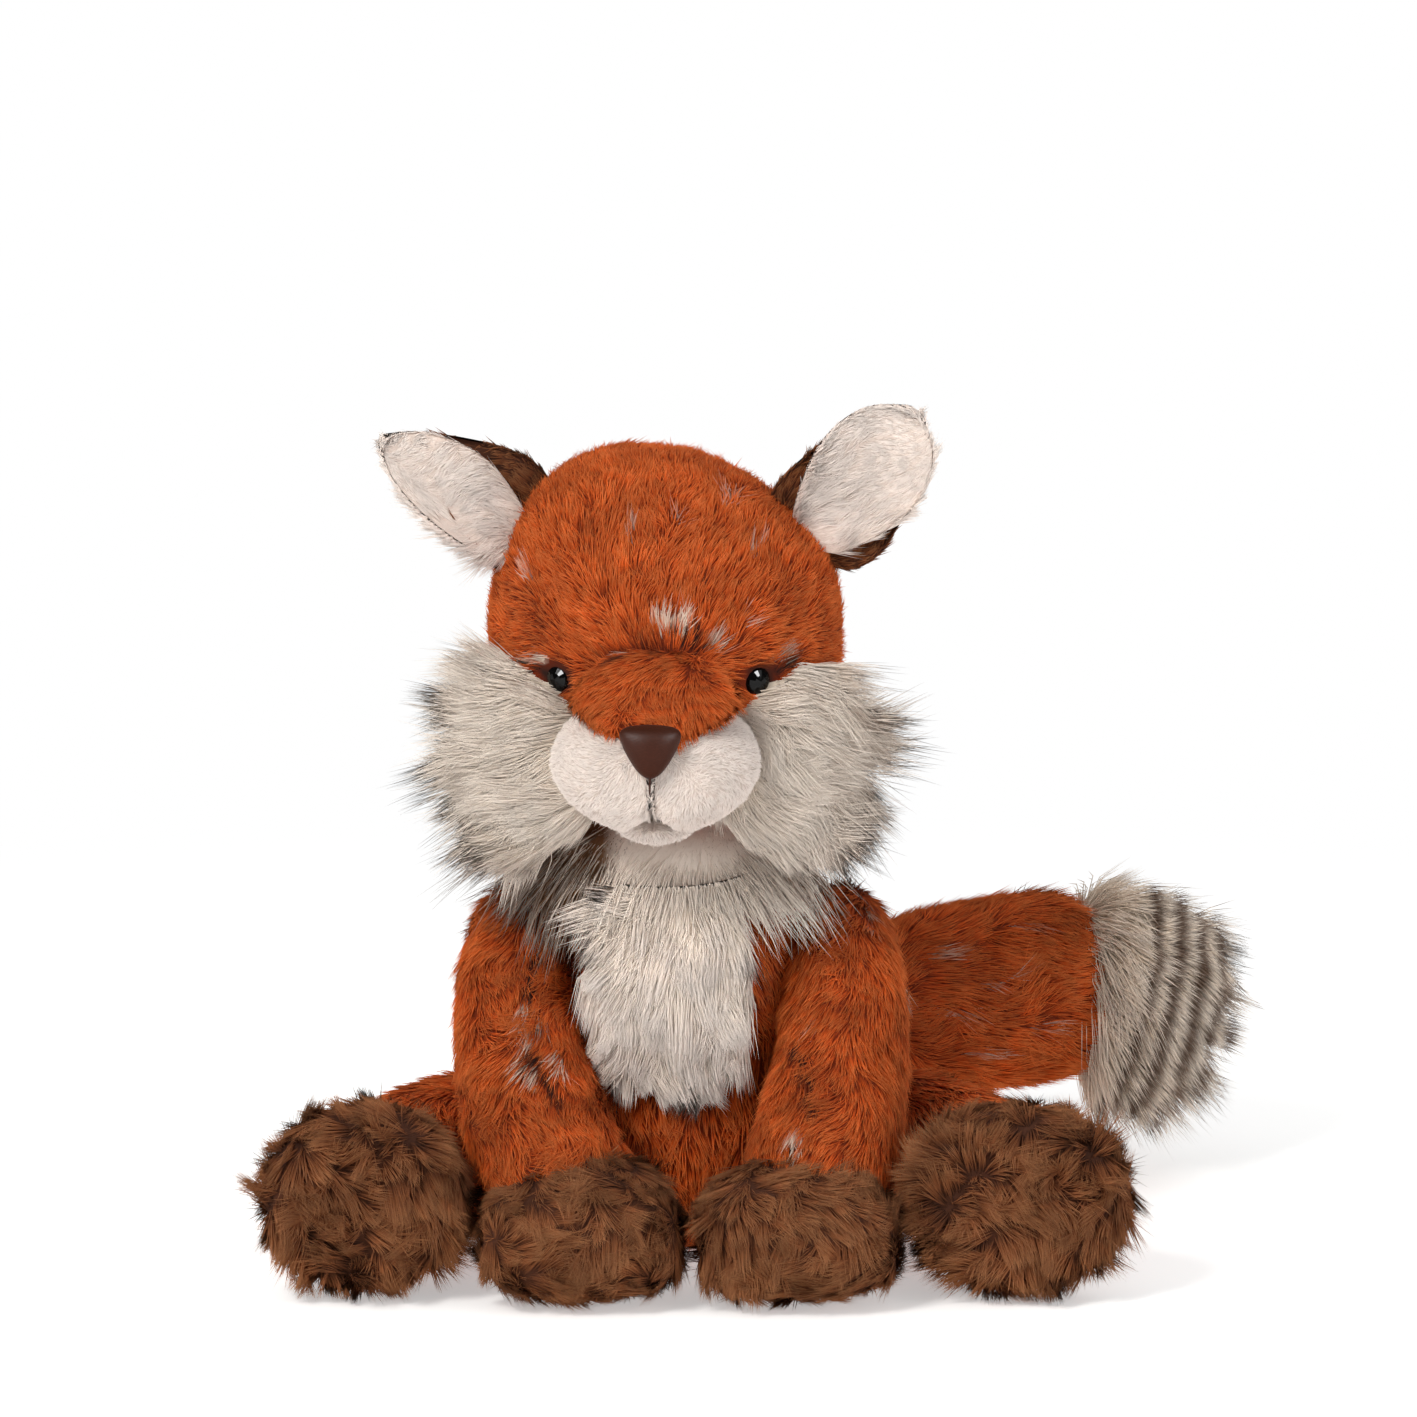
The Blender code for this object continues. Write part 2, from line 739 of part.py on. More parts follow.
def make_head(shop, pivot):
    """The head's cover with its fibre filling, both hollowed where the neck's ball sits."""
    stations = standing_stations(HEAD_SHARES, head_foot(), HEAD_WIDTH, HEAD_DEPTH, HEAD_HEIGHT)
    cage = form_cage("head_cover", stations, TRUNK_CORNERS)
    cover = shop.part("head_cover", cage, rust_plush("head"), pivot)
    smooth_form(cover)
    cavity = shop.grown(cover, -PLUSH_WALL, "head_cavity")
    filling = shop.grown(cover, -PLUSH_WALL - CLEARANCE, "head_filling", fibre("head"))
    socket = ball_mesh("neck_socket", Vector(), socket_radius(NECK_BALL_RADIUS))
    neck_socket = shop.cutter("neck_socket", socket, pivot)
    cut(cover, cavity, neck_socket)
    cut(filling, neck_socket)
    return cover, filling


def make_muzzle(shop, pivot, head_room):
    """The two white muzzle pads, the rust bridge above them, the chin and the nose.

    It returns the room that the muzzle takes.
    """
    middle = head_point(MUZZLE_HEIGHT_SHARE)
    head_front = head_half(MUZZLE_HEIGHT_SHARE, 2, HEAD_DEPTH)
    start = middle + FORWARD * (head_front - MUZZLE_ROOT)
    length = MUZZLE_ROOT + MUZZLE_REACH
    stations = []
    for along, half_width, half_height, drop in MUZZLE_SHARES:
        centre = start + FORWARD * (along * length) - UP * (drop * MUZZLE_HEIGHT)
        sizes = (half_width * MUZZLE_WIDTH / 2.0, half_height * MUZZLE_HEIGHT / 2.0)
        stations.append((centre, *sizes, 0.0))
    guide = shop.cutter("muzzle_guide", form_cage("muzzle_guide", stations, TRUNK_CORNERS), pivot)
    smooth_form(guide)
    muzzle_room = shop.grown(guide, CLEARANCE, "muzzle_room")
    bridge = make_bridge(shop, pivot, start + FORWARD * length)
    bridge_room = shop.grown(bridge, CLEARANCE, "bridge_room")
    cut(bridge, head_room)
    reach = HEAD_WIDTH
    for side, name in ((1.0, "left"), (-1.0, "right")):
        pad_cage = form_cage(f"muzzle_{name}", stations, TRUNK_CORNERS)
        pad = shop.part(f"muzzle_{name}", pad_cage, white_plush(f"muzzle_{name}"), pivot)
        smooth_form(pad)
        edges = sorted((side * CLEARANCE / 2.0, -side * reach))
        low = Vector((edges[0], -reach - length, -reach))
        high = Vector((edges[1], reach, HEAD_HEIGHT + reach))
        half = box_mesh(f"muzzle_half_{name}", low, high)
        cut(pad, shop.cutter(f"muzzle_half_{name}", half, pivot), head_room, bridge_room)
    make_chin(shop, pivot, head_room, muzzle_room)
    make_nose(shop, pivot, start + FORWARD * length, muzzle_room, bridge_room)
    return muzzle_room


def make_bridge(shop, pivot, muzzle_end):
    """The rust bridge from the brow down to the nose, over the top of the muzzle."""
    brow_front = head_half(BRIDGE_TOP_SHARE, 2, HEAD_DEPTH) * BRIDGE_TOP_FORWARD_SHARE
    top = head_point(BRIDGE_TOP_SHARE) + FORWARD * brow_front
    tip = Vector(muzzle_end)
    tip.z = head_point(BRIDGE_NOSE_SHARE).z
    stations = []
    for along, half_width, half_thickness in BRIDGE_SHARES:
        centre = top.lerp(tip, along)
        sizes = (half_width * BRIDGE_WIDTH / 2.0, half_thickness * BRIDGE_THICKNESS / 2.0)
        stations.append((centre, *sizes, 0.0))
    cage = form_cage("muzzle_bridge", stations, LIMB_CORNERS)
    bridge = shop.part("muzzle_bridge", cage, rust_plush("bridge"), pivot)
    smooth_form(bridge)
    return bridge


def make_chin(shop, pivot, head_room, muzzle_room):
    """The small chin under the muzzle pads."""
    middle = head_point(CHIN_HEIGHT_SHARE)
    forward = head_half(CHIN_HEIGHT_SHARE, 2, HEAD_DEPTH) * CHIN_FORWARD_SHARE
    start = middle + FORWARD * forward
    stations = []
    for along, half_width, half_height in CHIN_SHARES:
        centre = start + FORWARD * (along * CHIN_LENGTH)
        sizes = (half_width * CHIN_WIDTH / 2.0, half_height * CHIN_HEIGHT / 2.0)
        stations.append((centre, *sizes, 0.0))
    cage = form_cage("chin", stations, LIMB_CORNERS)
    chin = shop.part("chin", cage, white_plush("chin"), pivot)
    smooth_form(chin)
    cut(chin, head_room, muzzle_room)


def make_nose(shop, pivot, muzzle_end, muzzle_room, bridge_room):
    """The satin nose, a rounded triangle that is wide at the top."""
    foot = Vector(muzzle_end) + FORWARD * (NOSE_THICKNESS * NOSE_FORWARD_SHARE)
    foot.z = head_point(NOSE_HEIGHT_SHARE).z - NOSE_HEIGHT / 2.0
    stations = []
    for up, half_width, half_thickness in NOSE_SHARES:
        centre = foot + UP * (up * NOSE_HEIGHT)
        sizes = (half_width * NOSE_WIDTH / 2.0, half_thickness * NOSE_THICKNESS / 2.0)
        stations.append((centre, *sizes, 0.0))
    material = surface("satin", NOSE_COLOUR, SATIN_ROUGHNESS)
    nose = shop.part("nose", form_cage("nose", stations, LIMB_CORNERS), material, pivot)
    smooth_form(nose)
    cut(nose, muzzle_room, bridge_room)


def head_surface(up_share, aside):
    """A point on the head's front at a height share and a distance aside, and its level normal."""
    half_width = head_half(up_share, 1, HEAD_WIDTH)
    half_depth = head_half(up_share, 2, HEAD_DEPTH)
    forward = half_depth * math.sqrt(1.0 - (aside / half_width) ** 2)
    point = head_point(up_share) + LEFT * aside + FORWARD * forward
    normal = LEFT * (aside / half_width**2) + FORWARD * (forward / half_depth**2)
    return point, normal.normalized()


def eye_profile():
    """The domed eye and its post, from the top of the dome down to the end of the post."""
    points = []
    for step in range(EYE_DOME_STEPS + 1):
        angle = math.pi / 2.0 * step / EYE_DOME_STEPS
        points.append((EYE_RADIUS * math.sin(angle), EYE_DOME_HEIGHT * math.cos(angle)))
    points.append((EYE_POST_RADIUS, -CLEARANCE))
    points.append((EYE_POST_RADIUS, -EYE_POST_LENGTH))
    points.append((0.0, -EYE_POST_LENGTH))
    return points


def make_eyes(shop, pivot, cover, filling):
    """Two moulded eyes. Each post goes through the cover into a lock washer behind it."""
    for side, name in ((1.0, "left"), (-1.0, "right")):
        place, normal = head_surface(EYE_HEIGHT_SHARE, side * EYE_SPREAD / 2.0)
        seat = place - normal * EYE_PILE_DEPTH
        turn = UP.rotation_difference(normal).to_matrix().to_4x4()
        frame = shop.empty(f"eye_frame_{name}", seat, turn, pivot)
        gloss = surface(f"gloss_plastic_{name}", EYE_COLOUR, GLOSS_ROUGHNESS)
        eye = shop.part(f"eye_{name}", profile_mesh(f"eye_{name}", eye_profile()), gloss, frame)
        turn_profile(eye)
        make_washer(shop, frame, name)
        behind = PLUSH_WALL - EYE_PILE_DEPTH
        pocket = rod_mesh("pocket", UP * -CLEARANCE, UP * CUT_OVERRUN, EYE_PILE_RADIUS)
        hole = rod_mesh("hole", UP * -CUT_OVERRUN, UP * CUT_OVERRUN, EYE_POST_RADIUS + CLEARANCE)
        room_end = UP * -(EYE_POST_LENGTH + CLEARANCE)
        room = rod_mesh("room", UP * behind, room_end, WASHER_RADIUS + CLEARANCE)
        cut(cover, shop.cutter(f"eye_pocket_{name}", pocket, frame))
        cut(cover, shop.cutter(f"eye_hole_{name}", hole, frame))
        cut(filling, shop.cutter(f"eye_room_{name}", room, frame))


def make_washer(shop, frame, name):
    """The lock washer on an eye's post, behind the cover."""
    sag = WASHER_RADIUS**2 / HEAD_DEPTH
    top = EYE_PILE_DEPTH - PLUSH_WALL - CLEARANCE - WASHER_GAP - sag
    bore = EYE_POST_RADIUS + CLEARANCE
    bottom = top - WASHER_THICKNESS
    outline = ((bore, top), (WASHER_RADIUS, top), (WASHER_RADIUS, bottom), (bore, bottom))
    material = surface(f"white_nylon_{name}", WASHER_COLOUR, SATIN_ROUGHNESS)
    mesh = profile_mesh(f"eye_washer_{name}", outline, closed=True)
    washer = shop.part(f"eye_washer_{name}", mesh, material, frame)
    turn_profile(washer)


def make_cheek_ruffs(shop, pivot, rooms):
    """The long frosted fur on each cheek, a wing that sweeps outwards and back."""
    for side, name in ((1.0, "left"), (-1.0, "right")):
        middle = head_point(CHEEK_RUFF_HEIGHT_SHARE)
        half_width = head_half(CHEEK_RUFF_HEIGHT_SHARE, 1, HEAD_WIDTH)
        half_depth = head_half(CHEEK_RUFF_HEIGHT_SHARE, 2, HEAD_DEPTH)
        inner = half_width * CHEEK_RUFF_START_SHARE
        start = middle + FORWARD * (half_depth * CHEEK_RUFF_FORWARD_SHARE)
        span = CHEEK_RUFF_REACH - inner
        stations = []
        for out, half_height, half_thickness, back, drop in CHEEK_RUFF_SHARES:
            centre = start + LEFT * (side * (inner + out * span))
            centre = centre - FORWARD * (back * span) - UP * (drop * CHEEK_RUFF_HEIGHT)
            half = half_thickness * CHEEK_RUFF_THICKNESS / 2.0
            stations.append((centre, half_height * CHEEK_RUFF_HEIGHT / 2.0, half, 0.0))
        material = surface(f"frosted_pile_cheek_{name}", CREAM_COLOUR, PLUSH_ROUGHNESS)
        cage = form_cage(f"cheek_ruff_{name}", stations, LIMB_CORNERS, side=UP)
        ruff = shop.part(f"cheek_ruff_{name}", cage, material, pivot)
        smooth_form(ruff)
        cut(ruff, *rooms)


def ear_turn(side, lift, twist):
    """The ear's own axes: X along its root, Z up its length and -Y out of its hollow front."""
    length = LEFT * (side * math.cos(lift)) + UP * math.sin(lift)
    root = Matrix.Rotation(side * twist, 3, length) @ length.cross(FORWARD)
    return Matrix((root, length.cross(root), length)).transposed().to_4x4()


def make_ears(shop, pivot, cover, filling, head_room):
    """Each ear: a brown back and a white lining, on a round root that lies in a groove.

    The leaves are cut by the head as it stands to them at both ends of their fold.
    """
    left = (1.0, "left", LEFT_EAR_LIFT, LEFT_EAR_TWIST)
    right = (-1.0, "right", RIGHT_EAR_LIFT, RIGHT_EAR_TWIST)
    for side, name, lift, twist in (left, right):
        out = head_half(EAR_HEIGHT_SHARE, 1, HEAD_WIDTH) - EAR_ROOT_SINK
        place = head_point(EAR_HEIGHT_SHARE) + LEFT * (side * out)
        frame = shop.empty(f"ear_frame_{name}", place, ear_turn(side, lift, twist), pivot)
        back = make_ear_leaf(shop, frame, f"ear_back_{name}", "back")
        back_room = shop.grown(back, CLEARANCE, f"ear_back_room_{name}")
        lining = make_ear_leaf(shop, frame, f"ear_lining_{name}", "lining")
        folded_back = shop.swung(head_room, frame, EAR_FOLD, "X", f"head_fold_back_{name}")
        folded_on = shop.swung(head_room, frame, -EAR_FOLD, "X", f"head_fold_on_{name}")
        cut(back, head_room, folded_back, folded_on)
        cut(lining, back_room, head_room, folded_back, folded_on)
        half_root = LEFT * (EAR_ROOT_LENGTH / 2.0)
        root = rod_mesh("root", -half_root, half_root, EAR_ROOT_RADIUS)
        boolean(back, shop.cutter(f"ear_root_{name}", root, frame), "UNION")
        half_room = half_root + LEFT * CLEARANCE
        groove = rod_mesh("groove", -half_room, half_room, EAR_ROOT_RADIUS + CLEARANCE)
        groove_cutter = shop.cutter(f"ear_groove_{name}", groove, frame)
        cut(cover, groove_cutter)
        cut(filling, groove_cutter)


def make_ear_leaf(shop, frame, name, kind):
    """One leaf of an ear: a cupped, flat form that starts round at the root."""
    if kind == "back":
        sizes = (EAR_LENGTH, EAR_WIDTH, EAR_THICKNESS, -EAR_ROOT_RADIUS, 0.0)
        material = brown_plush(name)
    else:
        start = EAR_LENGTH * LINING_START_SHARE
        forward = EAR_THICKNESS * LINING_FORWARD_SHARE
        sizes = (EAR_LINING_LENGTH, EAR_LINING_WIDTH, EAR_LINING_THICKNESS, start, forward)
        material = white_plush(name)
    length, width, thickness, start, forward = sizes
    stations = []
    for up, half_width, half_thickness, cup in EAR_SHARES:
        centre = UP * (start + up * length) + FORWARD * forward
        sizes = (half_width * width / 2.0, half_thickness * thickness / 2.0, cup * EAR_CUP)
        stations.append((centre, *sizes))
    leaf = shop.part(name, form_cage(name, stations, LIMB_CORNERS), material, frame)
    smooth_form(leaf)
    return leaf


def mixed_half(first, second, mix):
    """Half of a width that goes from one size to another."""
    return (first * (1.0 - mix) + second * mix) / 2.0


def make_foreleg(shop, side, name, floor, body_room):
    """A foreleg from the ball in the shoulder to the wrist, and the paw.

    It returns the dimple that the body gets for the ball.
    """
    middle = body_middle(SHOULDER_HEIGHT)
    spread = body_half_width(SHOULDER_HEIGHT) + SHOULDER_RADIUS - SHOULDER_SINK
    shoulder = middle + LEFT * (side * spread)
    shoulder.y = FORWARD.y * SHOULDER_FORWARD
    paw = LEFT * (side * PAW_SPREAD / 2.0) + FORWARD * PAW_FORWARD
    paw.z = PAW_HEIGHT / 2.0 - FLOOR_CUT
    frame = shop.empty(f"shoulder_{name}", shoulder)
    end = paw - shoulder
    bend = Vector((0.0, end.y / 2.0, end.z / 2.0))
    top = -bend.normalized() * SHOULDER_RADIUS
    stations = []
    for along, mix, swell, bow in FORELEG_SHARES:
        centre = bent_path(top, bend, end, along) + LEFT * (side * bow * FORELEG_WIDTH)
        half = mixed_half(FORELEG_WIDTH, WRIST_WIDTH, mix) * swell
        stations.append((centre, half, half, 0.0))
    cage = form_cage(f"foreleg_{name}", stations, LIMB_CORNERS)
    leg = shop.part(f"foreleg_{name}", cage, rust_plush(f"foreleg_{name}"), frame)
    smooth_form(leg)
    paw_part = make_paw(shop, name, frame, end)
    cut(leg, body_room, shop.grown(paw_part, CLEARANCE, f"paw_room_{name}"))
    ball = ball_mesh("shoulder_ball", Vector(), SHOULDER_RADIUS)
    boolean(leg, shop.cutter(f"shoulder_ball_{name}", ball, frame), "UNION")
    cut(paw_part, floor)
    dimple = ball_mesh("shoulder_dimple", Vector(), socket_radius(SHOULDER_RADIUS))
    return shop.cutter(f"shoulder_dimple_{name}", dimple, frame)


def make_paw(shop, name, frame, centre):
    """The brown paw at the end of a foreleg."""
    start = centre - FORWARD * (PAW_LENGTH / 2.0)
    stations = []
    for along, half_width, half_height in PAW_SHARES:
        place = start + FORWARD * (along * PAW_LENGTH)
        sizes = (half_width * PAW_WIDTH / 2.0, half_height * PAW_HEIGHT / 2.0)
        stations.append((place, *sizes, 0.0))
    cage = form_cage(f"front_paw_{name}", stations, LIMB_CORNERS)
    paw = shop.part(f"front_paw_{name}", cage, brown_plush(f"paw_{name}"), frame)
    smooth_form(paw)
    return paw


def make_hind_leg(shop, side, name, floor, body_room):
    """A hind leg from the ball in the hip to the ankle, and the foot with its round sole.

    It returns the dimple that the body gets for the ball.
    """
    spread = body_half_width(HIP_HEIGHT) + HIP_RADIUS - HIP_SINK
    hip = LEFT * (side * spread) - FORWARD * HIP_BACKWARD + UP * HIP_HEIGHT
    foot = LEFT * (side * FOOT_SPREAD / 2.0) + FORWARD * FOOT_FORWARD
    foot.z = FOOT_HEIGHT / 2.0 - FLOOR_CUT
    frame = shop.empty(f"hip_{name}", hip)
    end = foot - hip
    bend = Vector((end.x * KNEE_OUTWARD_SHARE, end.y * KNEE_FORWARD_SHARE, 0.0))
    top = -bend.normalized() * HIP_RADIUS
    stations = []
    for along, mix, swell, bow in HIND_LEG_SHARES:
        centre = bent_path(top, bend, end, along) + UP * (bow * HIND_LEG_WIDTH)
        half = mixed_half(HIND_LEG_WIDTH, ANKLE_WIDTH, mix) * swell
        stations.append((centre, half, half, 0.0))
    cage = form_cage(f"hind_leg_{name}", stations, LIMB_CORNERS, side=UP)
    leg = shop.part(f"hind_leg_{name}", cage, rust_plush(f"hind_leg_{name}"), frame)
    smooth_form(leg)
    foot_part = make_foot(shop, name, frame, end)
    raised = shop.swung(body_room, frame, HIND_LEG_RAISE, "X", f"body_room_raised_{name}")
    cut(leg, body_room, raised, shop.grown(foot_part, CLEARANCE, f"foot_room_{name}"))
    ball = ball_mesh("hip_ball", Vector(), HIP_RADIUS)
    boolean(leg, shop.cutter(f"hip_ball_{name}", ball, frame), "UNION")
    cut(leg, floor)
    split_sole(shop, name, frame, foot_part, end, floor)
    dimple = ball_mesh("hip_dimple", Vector(), socket_radius(HIP_RADIUS))
    return shop.cutter(f"hip_dimple_{name}", dimple, frame)


def foot_stations(centre):
    """The stations of a hind foot, from the ankle to the sole."""
    start = centre - FORWARD * (FOOT_LENGTH / 2.0)
    stations = []
    for along, half_width, half_height in FOOT_SHARES:
        place = start + FORWARD * (along * FOOT_LENGTH)
        sizes = (half_width * FOOT_WIDTH / 2.0, half_height * FOOT_HEIGHT / 2.0)
        stations.append((place, *sizes, 0.0))
    return stations


def make_foot(shop, name, frame, centre):
    """The round brown foot."""
    cage = form_cage(f"hind_foot_{name}", foot_stations(centre), LIMB_CORNERS)
    foot = shop.part(f"hind_foot_{name}", cage, brown_plush(f"foot_{name}"), frame)
    smooth_form(foot)
    return foot


def split_sole(shop, name, frame, foot, centre, floor):
    """Parts the sole from the foot along its seam, a plane across the foot."""
    cage = form_cage(f"hind_sole_{name}", foot_stations(centre), LIMB_CORNERS)
    sole = shop.part(f"hind_sole_{name}", cage, brown_plush(f"sole_{name}"), frame)
    smooth_form(sole)
    seam = centre + FORWARD * (FOOT_LENGTH / 2.0 - SOLE_THICKNESS)
    reach = LEFT * FOOT_WIDTH + UP * FOOT_HEIGHT
    ahead = FORWARD * (SOLE_THICKNESS + CUT_OVERRUN)
    front = box_mesh("sole_front", seam - reach + ahead, seam + reach)
    behind = seam - FORWARD * (FOOT_LENGTH + CUT_OVERRUN)
    back = box_mesh("sole_back", seam - reach + FORWARD * CLEARANCE, behind + reach)
    cut(foot, shop.cutter(f"sole_front_{name}", front, frame), floor)
    cut(sole, shop.cutter(f"sole_back_{name}", back, frame), floor)


def make_tail(shop, body_room):
    """The tail on its ball, and the striped tip sewn across its end.

    It returns the dimple that the body gets for the ball.
    """
    back = body_half_depth(TAIL_ROOT_HEIGHT) - TAIL_ROOT_SINK
    middle = body_middle(TAIL_ROOT_HEIGHT)
    root = middle - FORWARD * back + LEFT * TAIL_ROOT_SIDEWAYS
    frame = shop.empty("tail_root", root)
    seam = Vector((TAIL_REACH, TAIL_BACKWARD, TAIL_HEIGHT - TAIL_ROOT_HEIGHT))
    sideways = seam.x * TAIL_BEND_SIDEWAYS_SHARE
    bend = Vector((sideways, seam.y * TAIL_BEND_BACKWARD_SHARE, seam.z))
    stations = []
    for along, mix, swell in TAIL_SHARES:
        centre = bent_path(Vector(), bend, seam, along)
        half = mixed_half(2.0 * TAIL_ROOT_RADIUS, TAIL_WIDTH, mix) * swell
        stations.append((centre, half, half, 0.0))
    cage = form_cage("tail", stations, LIMB_CORNERS, side=UP)
    tail = shop.part("tail", cage, rust_plush("tail"), frame)
    smooth_form(tail)
    swung = shop.swung(body_room, frame, -TAIL_SWING, "Z", "body_room_swung")
    ahead = (seam - bend).normalized()
    tip_cut = seam_box(shop, "tail_end_cut", seam, ahead, frame)
    cut(tail, body_room, swung, tip_cut)
    ball = ball_mesh("tail_ball", Vector(), TAIL_ROOT_RADIUS)
    boolean(tail, shop.cutter("tail_ball", ball, frame), "UNION")
    make_tail_tip(shop, frame, seam, ahead)
    dimple = ball_mesh("tail_dimple", Vector(), socket_radius(TAIL_ROOT_RADIUS))
    return shop.cutter("tail_dimple", dimple, frame)


def seam_box(shop, name, place, ahead, frame):
    """A box whose near face is the plane across the tail at its seam."""
    low = Vector((-TAIL_TIP_WIDTH, -TAIL_TIP_WIDTH, 0.0))
    mesh = box_mesh(name, low, Vector((TAIL_TIP_WIDTH, TAIL_TIP_WIDTH, TAIL_TIP_LENGTH)))
    turn = UP.rotation_difference(ahead).to_matrix().to_4x4()
    mesh.transform(Matrix.Translation(place) @ turn)
    return shop.cutter(name, mesh, frame)


def make_tail_tip(shop, frame, seam, ahead):
    """The long-piled striped tip, wider than the tail that it is sewn to."""
    start = seam + ahead * CLEARANCE
    stations = []
    for along, half_width, drop in TAIL_TIP_SHARES:
        centre = start + ahead * (along * TAIL_TIP_LENGTH) - UP * (drop * TAIL_TIP_WIDTH)
        half = half_width * TAIL_TIP_WIDTH / 2.0
        stations.append((centre, half, half, 0.0))
    material = surface("striped_long_pile", STRIPE_COLOUR, PLUSH_ROUGHNESS)
    cage = form_cage("tail_tip", stations, LIMB_CORNERS, side=UP)
    smooth_form(shop.part("tail_tip", cage, material, frame))


def main():
    """Builds the whole fox."""
    clear_scene()
    shop = Workshop()
    floor = floor_cutter(shop)
    neck_cut = neck_cutter(shop)
    cover, filling = make_body(shop)
    body_room = shop.grown(cover, CLEARANCE, "body_room")
    make_bib(shop, body_room)
    pivot = shop.empty("neck_pivot", neck_pivot(), Matrix.Rotation(HEAD_TURN, 4, "Z"))
    make_neck_ruff(shop, pivot)
    head_cover, head_filling = make_head(shop, pivot)
    head_room = shop.grown(head_cover, CLEARANCE, "head_room")
    muzzle_room = make_muzzle(shop, pivot, head_room)
    make_eyes(shop, pivot, head_cover, head_filling)
    make_cheek_ruffs(shop, pivot, (muzzle_room, head_room))
    make_ears(shop, pivot, head_cover, head_filling, head_room)
    dimples = [make_tail(shop, body_room)]
    for side, name in ((1.0, "left"), (-1.0, "right")):
        dimples.append(make_foreleg(shop, side, name, floor, body_room))
        dimples.append(make_hind_leg(shop, side, name, floor, body_room))
    cut(cover, *dimples, neck_cut, floor)
    cut(filling, *dimples, neck_cut)


main()
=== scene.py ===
"""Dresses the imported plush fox: cloth skins under thousands of locks of pile, in the frame of its CAD model.

A form is a list of stations in millimetres from the joint that carries it: across, back and up, the half
width and half depth of the ring there, and for a leaf its cup. Everything else is in metres.
"""
import json
import math

import bpy
import numpy as np
from bpy.props import FloatProperty, FloatVectorProperty, PointerProperty
from bpy.types import Operator, Panel, PropertyGroup
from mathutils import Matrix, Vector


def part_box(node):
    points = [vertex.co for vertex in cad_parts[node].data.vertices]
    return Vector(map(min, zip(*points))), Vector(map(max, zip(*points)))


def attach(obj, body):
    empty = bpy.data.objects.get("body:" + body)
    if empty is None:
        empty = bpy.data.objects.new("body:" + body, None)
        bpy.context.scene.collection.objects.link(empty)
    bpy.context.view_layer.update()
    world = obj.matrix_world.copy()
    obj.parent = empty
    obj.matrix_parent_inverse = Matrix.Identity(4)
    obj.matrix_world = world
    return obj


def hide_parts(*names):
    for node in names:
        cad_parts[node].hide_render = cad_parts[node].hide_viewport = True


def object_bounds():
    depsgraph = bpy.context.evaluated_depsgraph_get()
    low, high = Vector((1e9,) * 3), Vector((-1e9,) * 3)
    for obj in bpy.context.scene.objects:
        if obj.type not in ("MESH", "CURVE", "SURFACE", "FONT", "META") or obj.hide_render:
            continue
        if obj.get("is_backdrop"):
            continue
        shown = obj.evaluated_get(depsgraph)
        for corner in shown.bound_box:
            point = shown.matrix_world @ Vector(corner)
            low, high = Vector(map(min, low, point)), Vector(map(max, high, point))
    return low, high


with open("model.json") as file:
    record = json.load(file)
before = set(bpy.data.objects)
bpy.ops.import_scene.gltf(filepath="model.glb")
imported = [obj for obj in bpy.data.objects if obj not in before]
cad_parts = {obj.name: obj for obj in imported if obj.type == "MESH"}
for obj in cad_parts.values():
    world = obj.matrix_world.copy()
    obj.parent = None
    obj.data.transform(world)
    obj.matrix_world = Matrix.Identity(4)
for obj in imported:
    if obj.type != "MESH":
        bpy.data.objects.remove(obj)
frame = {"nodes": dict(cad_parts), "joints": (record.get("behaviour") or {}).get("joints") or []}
CAD_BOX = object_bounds()

bl_info = {
    "name": "Plush fox",
    "version": (1, 0, 0),
    "blender": (4, 5, 0),
    "location": "3D View > Sidebar > Plush fox",
    "description": "Makes the pile, face and studio of a seated plush fox around its CAD model",
    "category": "Object",
}

MM = 0.001
SIDES = ("left", "right")
CM2 = 0.0001
ACROSS, BACK, UP = np.eye(3)
FLOOR_GAP = 0.0003

RINGS_A_STATION = 6
SPOKES = 40
SKIN_STRIP = 0.18
CELL_MARGIN = 0.06
CHUNK = 4096
LOCK_CORNERS = 3
LOCK_FLATNESS = 0.6
LOCK_TAPER = 0.8
RISE_VARIETY = 0.2
TIP_WANDER = 0.12
CLOSING_POWER = 1.5
MUZZLE_CREASE = 0.10
MOUTH_CREASE = 0.25
MUZZLE_CREASE_REACH = 0.0045
MUZZLE_TAPER = 0.10
MUZZLE_CORNER = 0.6
PAW_SQUARENESS = 0.7
PAW_TAPER = 0.16
EYE_CLEARING = 0.0049
GLINT_CLEARING = 0.0020
EYE_FRONT = 0.0055
SOCKET_DEPTH = 0.0034
SOCKET_REACH = 0.0068
HEAD_SPOKES = 120
DEPTH_SHARE = 0.7
MARK_CHANCE = 0.75
WAVES = 12

